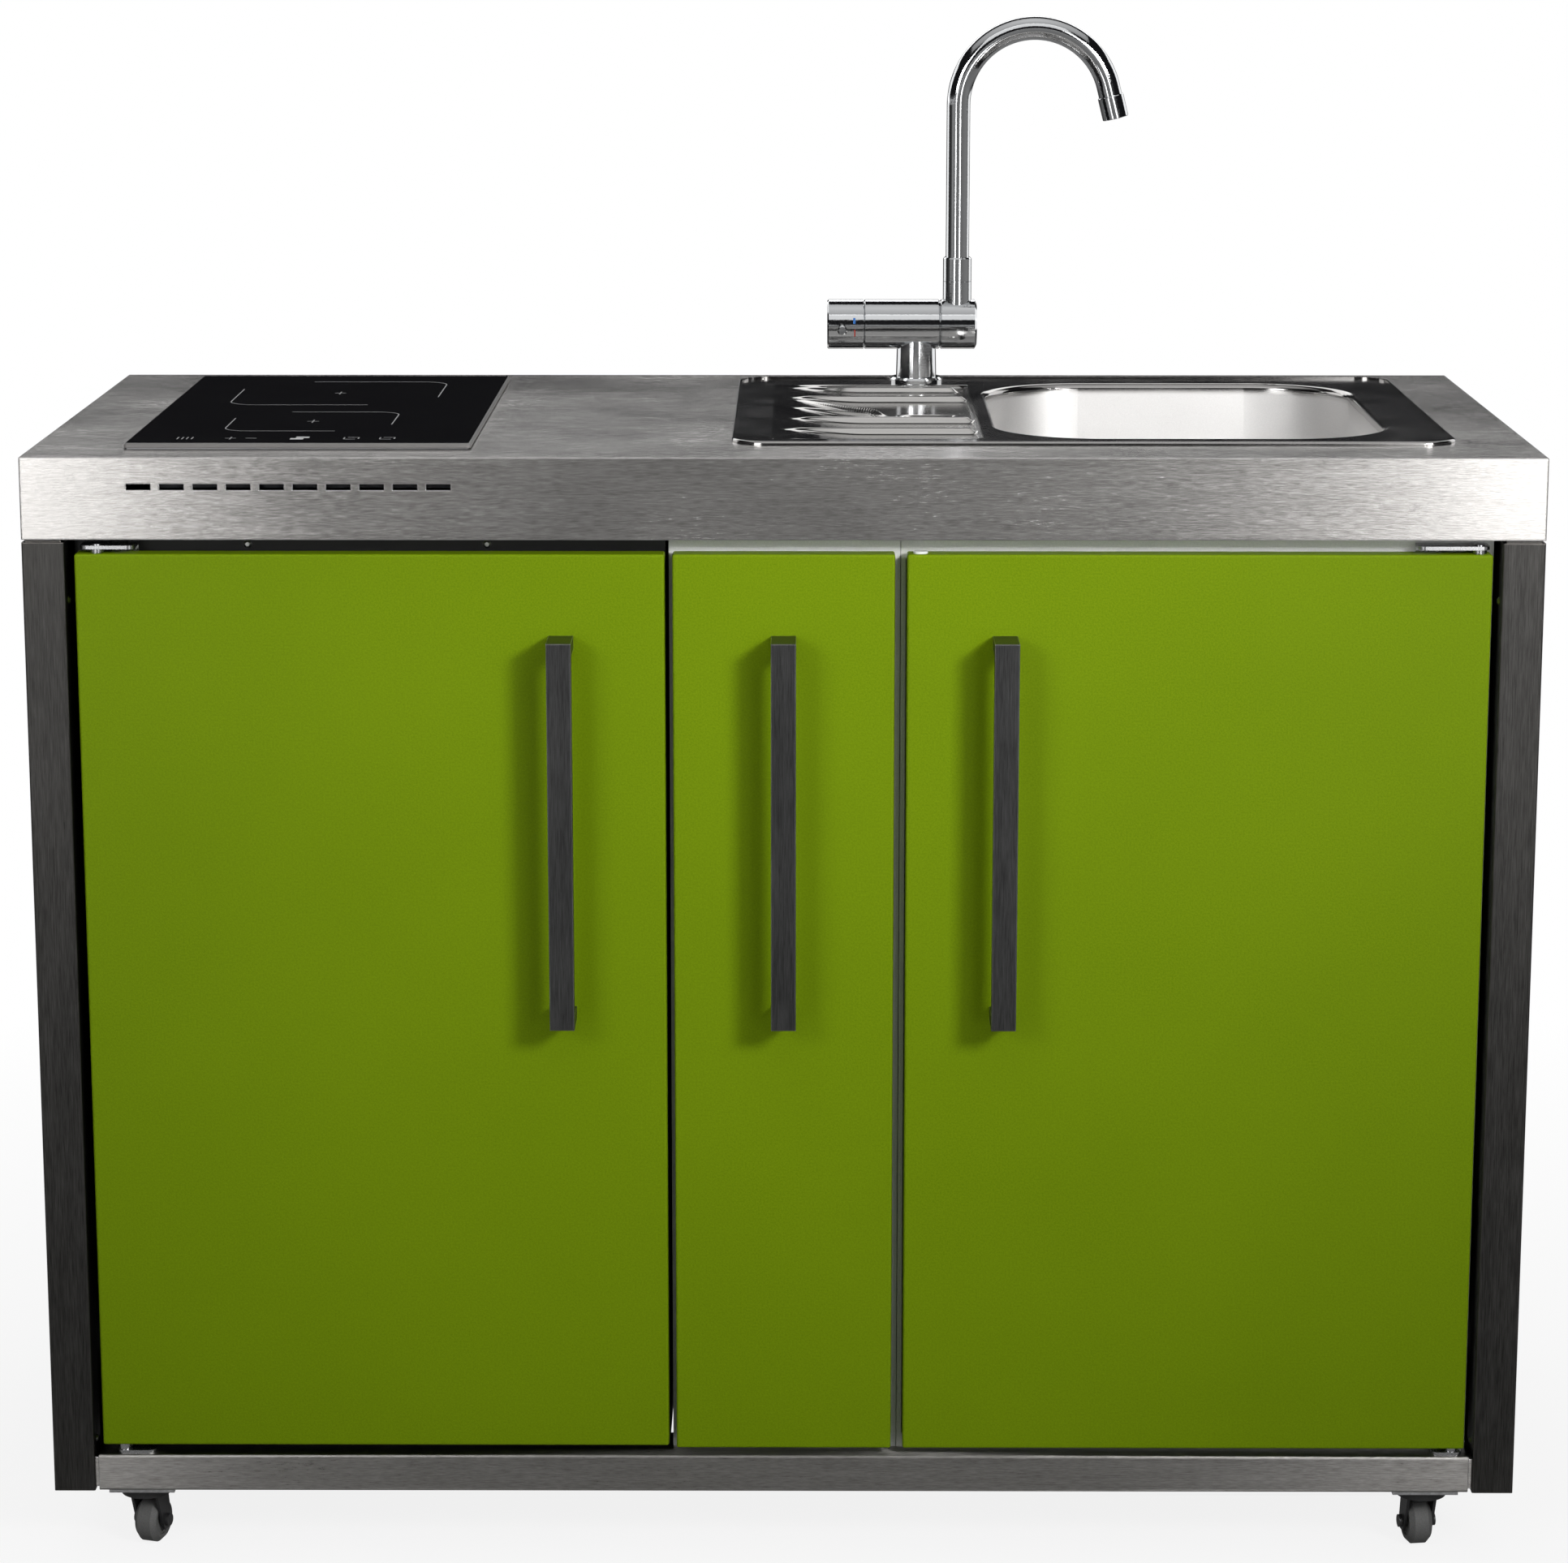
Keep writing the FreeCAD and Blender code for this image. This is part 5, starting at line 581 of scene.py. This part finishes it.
def addBracket(work, corner, inward, arms, radius, firstAngle, width):
    # two arms from a zone's corner, joined by a bend; inward is 1 or -1, towards the zone's middle
    (x, y), (armX, armY) = corner, arms
    bend = inward * radius
    addBar(work, (x + bend, y), (x + inward * armX, y), width)
    addBar(work, (x, y + bend), (x, y + inward * armY), width)
    addBend(work, (x + bend, y + bend), radius, firstAngle, width)


def finishPiece(name, work, material, body, smooth=False):
    bmesh.ops.recalc_face_normals(work, faces=work.faces)
    mesh = bpy.data.meshes.new(name)
    work.to_mesh(mesh)
    work.free()
    for polygon in mesh.polygons:
        polygon.use_smooth = smooth
    piece = placeObject(name, mesh)
    mesh.materials.append(material)
    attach(piece, body)


def makeHobMarks():
    settings = hobMarkSettings
    width = settings["lineWidth"]
    shareX, shareY = settings["bracketShare"]
    work = bmesh.new()
    for low, high, radius in settings["zones"]:
        arms = (shareX * (high[0] - low[0]), shareY * (high[1] - low[1]))
        addBracket(work, low, 1, arms, radius, 180, width)
        addBracket(work, high, -1, arms, radius, 0, width)
        middle = ((low[0] + high[0]) / 2, (low[1] + high[1]) / 2)
        addStrokes(work, middle, settings["cross"], width)
    for sign, place in settings["row"]:
        addStrokes(work, (place, settings["rowPlace"]), settings["signs"][sign], width)
    finishPiece("hobMarks", work, makeMarkPrint("hobPrint", settings["printTone"]), "unit")
    work = bmesh.new()
    displayPlace = (settings["displayPlace"], settings["rowPlace"])
    addStrokes(work, displayPlace, settings["display"], settings["displayWidth"])
    finishPiece("hobDisplay", work, makeMarkPrint("hobLight", settings["litTone"]), "unit")


# pressed ribs and channel of the drainer, laid over the plain pan
drainerSettings = {
    "left": -0.0105, "right": 0.1685, "front": -0.1665, "back": 0.2275,
    "cells": (88, 324),
    "level": 0.95310,  # the deck's own height, and a tenth of a millimetre
    "edgeEase": 0.007,  # width of the slope at the pan's edge
    "fall": 0.0039,  # how far the pan sinks towards the bowl
    "fallStart": -0.004,
    "fallRun": 0.075,
    "ribs": (  # y, left point, right end, half width, height over the deck
        (0.2050, -0.004, 0.160, 0.0065, 0.0006),
        (0.1295, 0.000, 0.1665, 0.0060, 0.0014),
        (-0.0255, 0.000, 0.1665, 0.0060, 0.0014),
        (-0.1015, -0.006, 0.1665, 0.0060, 0.0014),
    ),
    "ribRise": 0.022,
    "ribEnd": 0.008,
    "slants": (  # start, end, half width, height
        ((0.002, 0.121), (0.092, 0.020), 0.0055, 0.0010),
        ((0.002, 0.058), (0.084, 0.004), 0.0055, 0.0010),
    ),
    "slantRiseShare": 0.2,
    "slantEndShare": 0.15,
    "channel": ((0.097, -0.008), (0.152, 0.032)),
    "channelDepth": 0.0020,
    "channelEase": 0.006,
    "channelRise": 0.02,
    "thickness": 0.0062,
}
drainSteelSettings = {
    "tone": (0.36, 0.35, 0.34, 1), "ribSlopeHighlight": (0.62, 0.61, 0.59, 1),
    "ridgeSlope": (0.90, 0.995),  # how upright the normal is on a rib's side and on the flat
    "gloss": 0.08, "satin": 0.17,
    "wearSpan": (0.02, 0.15),  # x between which the gloss turns to satin
    "ridgeRough": 0.15,
    "grainScale": 1500.0, "grainTone": gray(0.3), "grainShare": 0.12,
    "hazeSize": 16.0, "hazeRough": 0.05, "bump": 0.08, "depth": 0.0001,
}


def easeStep(value):
    value = min(1.0, max(0.0, value))
    return value * value * (3 - 2 * value)


def drainerHeight(x, y):
    settings = drainerSettings
    border = min(x - settings["left"], settings["right"] - x, y - settings["front"], settings["back"] - y)
    inside = easeStep(border / settings["edgeEase"])
    fall = settings["fall"] * easeStep((x - settings["fallStart"]) / settings["fallRun"]) * inside
    height = settings["level"] - fall
    for ribY, begin, end, half, proud in settings["ribs"]:
        along = easeStep((x - begin) / settings["ribRise"]) * easeStep((end - x) / settings["ribEnd"])
        across = easeStep(1 - abs(y - ribY) / half)
        height = max(height, height + (settings["level"] + proud - height) * along * across)
    for (x0, y0), (x1, y1), half, proud in settings["slants"]:
        share = (x - x0) / (x1 - x0)
        if 0 <= share <= 1:
            across = easeStep(1 - abs(y - (y0 + share * (y1 - y0))) / half)
            along = easeStep(share / settings["slantRiseShare"])
            along *= easeStep((1 - share) / settings["slantEndShare"])
            height = max(height, height + (settings["level"] + proud - height) * along * across)
    (lowX, lowY), (highX, highY) = settings["channel"]
    within = min(x - lowX, highX - x, y - lowY, highY - y)
    sunk = settings["channelDepth"] * easeStep(within / settings["channelEase"])
    return height - sunk * easeStep((x - lowX) / settings["channelRise"])


def makeDrainSteel():
    settings = drainSteelSettings
    material, tree, shader = newMaterial("drainSteel", Metallic=1.0)
    place = objectPlace(tree)
    haze = useGroup(tree, wipeMarks, Place=place, Size=settings["hazeSize"])["Haze"]
    upright = vectorNode(tree, "DOT_PRODUCT", surfaceNormal(tree), (0, 0, 1))
    ribSlopeHighlight = rangeNode(tree, upright, *settings["ridgeSlope"], 1.0, 0.0)
    grain = noiseNode(tree, place, settings["grainScale"])
    # painted highlight: the sides of the ribs get a lighter tone, as if they catch the light; they are also
    # rougher
    tone = mixColour(tree, ribSlopeHighlight, settings["tone"], settings["ribSlopeHighlight"])
    grainMask = spreadNoise(tree, grain, 0.0, settings["grainShare"])
    setInput(tree, shader, "Base Color", mixColour(tree, grainMask, tone, settings["grainTone"]))
    wearAndSheen = rangeNode(tree, axisPlace(tree, place, "X"), *settings["wearSpan"], settings["gloss"],
                     settings["satin"])
    rough = mathNode(tree, "MAXIMUM", wearAndSheen, mathNode(tree, "MULTIPLY", ribSlopeHighlight, settings["ridgeRough"]))
    hazed = mathNode(tree, "MULTIPLY", haze, settings["hazeRough"])
    setInput(tree, shader, "Roughness", mathNode(tree, "ADD", rough, hazed))
    addBump(tree, shader, grain, settings["bump"], settings["depth"])
    return material


def makeDrainer():
    settings = drainerSettings
    left, right, front, back = (settings[side] for side in ("left", "right", "front", "back"))
    work = bmesh.new()
    bmesh.ops.create_grid(work, x_segments=settings["cells"][0], y_segments=settings["cells"][1], size=0.5)
    bmesh.ops.scale(work, verts=work.verts, vec=(right - left, back - front, 1))
    bmesh.ops.translate(work, verts=work.verts, vec=((right + left) / 2, (back + front) / 2, 0))
    for vert in work.verts:
        vert.co.z = drainerHeight(vert.co.x, vert.co.y)
    border = [edge for edge in work.edges if edge.is_boundary]
    for edge in border:
        edge.smooth = False
    skirt = bmesh.ops.extrude_edge_only(work, edges=border)["geom"]
    lowered = [item for item in skirt if isinstance(item, bmesh.types.BMVert)]
    bmesh.ops.translate(work, verts=lowered, vec=(0, 0, -settings["thickness"]))
    bmesh.ops.holes_fill(work, edges=[edge for edge in work.edges if edge.is_boundary], sides=0)
    finishPiece("drainerRibs", work, makeDrainSteel(), "unit", smooth=True)


# coloured ticks on the cap of the tap
tapTickSettings = {
    "axis": (0.254, 1.007),  # y and z of the barrel's own axis
    "radius": 0.0230,
    "proud": 0.00010,
    "sunk": 0.00040,
    "steps": 6,
    "ticks": {  # place along the axis, width, middle angle above the front, height in degrees, colour
        "coolTick": (0.0634, 0.0021, 13.0, 14.0, (0.012, 0.130, 0.440, 1)),
        "warmTick": (0.0639, 0.0012, -16.0, 17.0, (0.420, 0.030, 0.016, 1)),
    },
    "rough": 0.35, "bump": 0.1, "depth": 0.0001,
    "cloudScale": 1500.0, "cloudTone": gray(0.02), "cloudShare": 0.2,
}


def makeTickEnamel(name, colour):
    settings = tapTickSettings
    material, tree, shader = newMaterial(name + "Enamel", Roughness=settings["rough"])
    cloud = noiseNode(tree, objectPlace(tree), settings["cloudScale"])
    mask = spreadNoise(tree, cloud, 0.0, settings["cloudShare"])
    setInput(tree, shader, "Base Color", mixColour(tree, mask, colour, settings["cloudTone"]))
    addBump(tree, shader, cloud, settings["bump"], settings["depth"])
    return material


def makeTapTicks():
    # each tick is a flat strip in front of the barrel, turned to its start and spun round the axis
    settings = tapTickSettings
    axisY, axisZ = settings["axis"]
    reach = settings["radius"] + settings["proud"]
    depth = settings["proud"] + settings["sunk"]
    for name, (place, width, middle, height, colour) in settings["ticks"].items():
        work = bmesh.new()
        made = bmesh.ops.create_grid(work, x_segments=1, y_segments=1, size=0.5)["verts"]
        bmesh.ops.scale(work, verts=made, vec=(width, depth, 1))
        bmesh.ops.translate(work, verts=made, vec=(place, axisY - reach + depth / 2, axisZ))
        bmesh.ops.rotate(work, verts=made, cent=(place, axisY, axisZ),
                         matrix=Matrix.Rotation(math.radians(-(middle - height / 2)), 3, "X"))
        bmesh.ops.spin(work, geom=work.faces[:] + work.edges[:] + work.verts[:], cent=(place, axisY, axisZ),
                       axis=(-1, 0, 0), angle=math.radians(height), steps=settings["steps"])
        finishPiece(name, work, makeTickEnamel(name, colour), "mixer_cap")


makeHobMarks()
makeTapTicks()
makeDrainer()
print("marks made")

# floor, world and lamps
floorSettings = {
    "size": 400.0,
    "tone": gray(0.90),
    "bounceTone": gray(0.18),  # the floor's tone for light that goes back up to the unit
    "nearShare": 0.86,  # share of plain white near the unit, where its shadow shows
    "nearSpan": (0.7, 1.8),  # distances between which that share grows to all
    "mirrorFront": 0.17,  # how much of the white shows in polished metal, by the side that it mirrors
    "mirrorLeft": ((-1.0, 0.03), (-0.93, 0.10), (-0.86, 0.36), (-0.74, 0.30), (-0.70, 0.08), (-0.60, 0.42),
                   (-0.52, 0.44), (-0.46, 0.14), (-0.30, 0.17)),
    "mirrorRight": 0.02,
    "rightSpan": (0.30, 0.60),
    "mirrorBack": 0.03,
    "backSpan": (0.0, 0.6),
    "awaySpan": (2.5, 5.0),  # distances between which the sides start to count
}
worldSettings = {
    "low": (0.18, 0.18, 0.185, 1),
    "high": (0.010, 0.010, 0.011, 1),
    "lowRise": 0.07,
    "glow": 0.6,  # how much of the white shows in polished metal at the horizon
    "glowRise": 0.03,
}


def makeFloorWhite():
    # white to the camera and through glass, and darker to everything that lights or mirrors the unit
    settings = floorSettings
    material = bpy.data.materials.new("floorWhite")
    material.use_nodes = True
    tree = material.node_tree
    tree.nodes.clear()
    paths = tree.nodes.new("ShaderNodeLightPath").outputs
    place = objectPlace(tree)
    reach = vectorNode(tree, "LENGTH", place)
    share = rangeNode(tree, reach, *settings["nearSpan"], settings["nearShare"], 1.0)
    seen = mathNode(tree, "ADD", paths["Is Camera Ray"], paths["Is Transmission Ray"], clamp=True)
    direction = vectorNode(tree, "NORMALIZE", place)
    sideways = axisPlace(tree, direction, "X")
    front = settings["mirrorFront"]
    toLeft = stretchNode(tree, sideways, settings["mirrorLeft"])
    toRight = rangeNode(tree, sideways, *settings["rightSpan"], 0.0, settings["mirrorRight"] - front)
    toBack = rangeNode(tree, axisPlace(tree, direction, "Y"), *settings["backSpan"], 1.0,
                       settings["mirrorBack"] / front)
    bySide = mathNode(tree, "MULTIPLY", mathNode(tree, "ADD", toLeft, toRight), toBack)
    away = rangeNode(tree, reach, *settings["awaySpan"], 0.0, 1.0)
    farPart = mathNode(tree, "MULTIPLY", bySide, away)
    nearPart = mathNode(tree, "MULTIPLY", mathNode(tree, "SUBTRACT", 1.0, away), front)
    mirrored = mathNode(tree, "MULTIPLY", paths["Is Glossy Ray"], mathNode(tree, "ADD", farPart, nearPart))
    glow = mathNode(tree, "MAXIMUM", seen, mirrored)
    matt = addNode(tree, "ShaderNodeBsdfDiffuse",
                   Color=mixColour(tree, seen, settings["bounceTone"], settings["tone"]))
    white = addNode(tree, "ShaderNodeEmission", Color=gray(1.0), Strength=1.0)
    blend = tree.nodes.new("ShaderNodeMixShader")
    tree.links.new(mathNode(tree, "MULTIPLY", glow, share), blend.inputs["Fac"])
    tree.links.new(matt.outputs[0], blend.inputs[1])
    tree.links.new(white.outputs[0], blend.inputs[2])
    output = tree.nodes.new("ShaderNodeOutputMaterial")
    tree.links.new(blend.outputs[0], output.inputs["Surface"])
    return material


def makeFloor():
    work = bmesh.new()
    bmesh.ops.create_grid(work, x_segments=1, y_segments=1, size=floorSettings["size"] / 2)
    mesh = bpy.data.meshes.new("paleFloor")
    work.to_mesh(mesh)
    work.free()
    floor = placeObject("paleFloor", mesh)
    mesh.materials.append(makeFloorWhite())


def makeWorld():
    # white where the camera looks past the floor, and a dark room with a paler horizon for everything else
    settings = worldSettings
    world = bpy.data.worlds.new("studio")
    bpy.context.scene.world = world
    world.use_nodes = True
    tree = world.node_tree
    direction = tree.nodes.new("ShaderNodeTexCoord").outputs["Generated"]
    rise = axisPlace(tree, direction, "Z")
    room = mixColour(tree, rangeNode(tree, rise, 0.0, settings["lowRise"], 0.0, 1.0), settings["low"],
                     settings["high"])
    paths = tree.nodes.new("ShaderNodeLightPath").outputs
    mirrored = mathNode(tree, "MULTIPLY", paths["Is Glossy Ray"],
                        rangeNode(tree, rise, 0.0, settings["glowRise"], settings["glow"], 0.0))
    seen = mathNode(tree, "ADD", paths["Is Camera Ray"], paths["Is Transmission Ray"], clamp=True)
    white = mathNode(tree, "MAXIMUM", seen, mirrored)
    background = tree.nodes["Background"]
    setInput(tree, background, "Color", mixColour(tree, white, room, gray(1.0)))
    setInput(tree, background, "Strength", 1.0)


lampSettings = {  # place, aim, width and height, brightness, spread of its grid in degrees
    "keyRight": ((1.95, -2.85, 2.15), (0.10, -0.28, 1.13), (0.72, 0.72), 74.0, 55),
    "fillLeft": ((-1.80, -2.85, 1.90), (-0.10, -0.28, 1.05), (0.90, 0.9), 11.5, 60),
    "stripRight": ((1.19, -2.90, 1.30), (0.42, -0.28, 1.25), (0.52, 2.4), 4.3, 80),
    "stripLeft": ((-1.22, -2.90, 1.30), (-0.42, -0.28, 1.25), (0.42, 2.4), 4.6, 80),
    "softboxHigh": ((0.0, -2.20, 2.90), (0.0, -0.2, 0.9), (2.6, 1.4), 1.0, 180),
    "softboxTop": ((0.0, -0.3, 3.1), (0.0, -0.1, 0.9), (4.0, 2.6), 0.80, 125),
    "softboxBack": ((0.0, 3.2, 2.7), (0.0, 0.1, 0.9), (4.4, 1.6), 1.75, 180),
    "rearLeft": ((-2.90, 2.30, 1.60), (0.0, 0.2, 0.6), (2.4, 2.4), 1.4, 140),
    "rearRight": ((2.90, 2.30, 1.60), (0.0, 0.2, 0.6), (2.4, 2.4), 1.4, 140),
}
noGrid = 180  # the spread of a lamp without a grid


def addLamp(name, place, aim, size, brightness, spread):
    # brightness is how bright the lamp's own face is from straight in front, with 1 as white
    lamp = bpy.data.lights.new(name, "AREA")
    lamp.shape = "RECTANGLE"
    lamp.size, lamp.size_y = size
    half = math.radians(spread) / 2
    lamp.spread = 2 * half
    gain = math.tan(half) / (math.tan(half) - half) if spread < noGrid else 1.0  # what a grid adds in front
    lamp.energy = brightness * math.pi * size[0] * size[1] / gain
    holder = placeObject(name, lamp)
    holder.location = place
    holder.rotation_euler = (Vector(aim) - Vector(place)).to_track_quat("-Z", "Y").to_euler()
    holder.visible_camera = False


makeFloor()
makeWorld()
for name, (place, aim, size, brightness, spread) in lampSettings.items():
    addLamp(name, place, aim, size, brightness, spread)
print("stage lit")
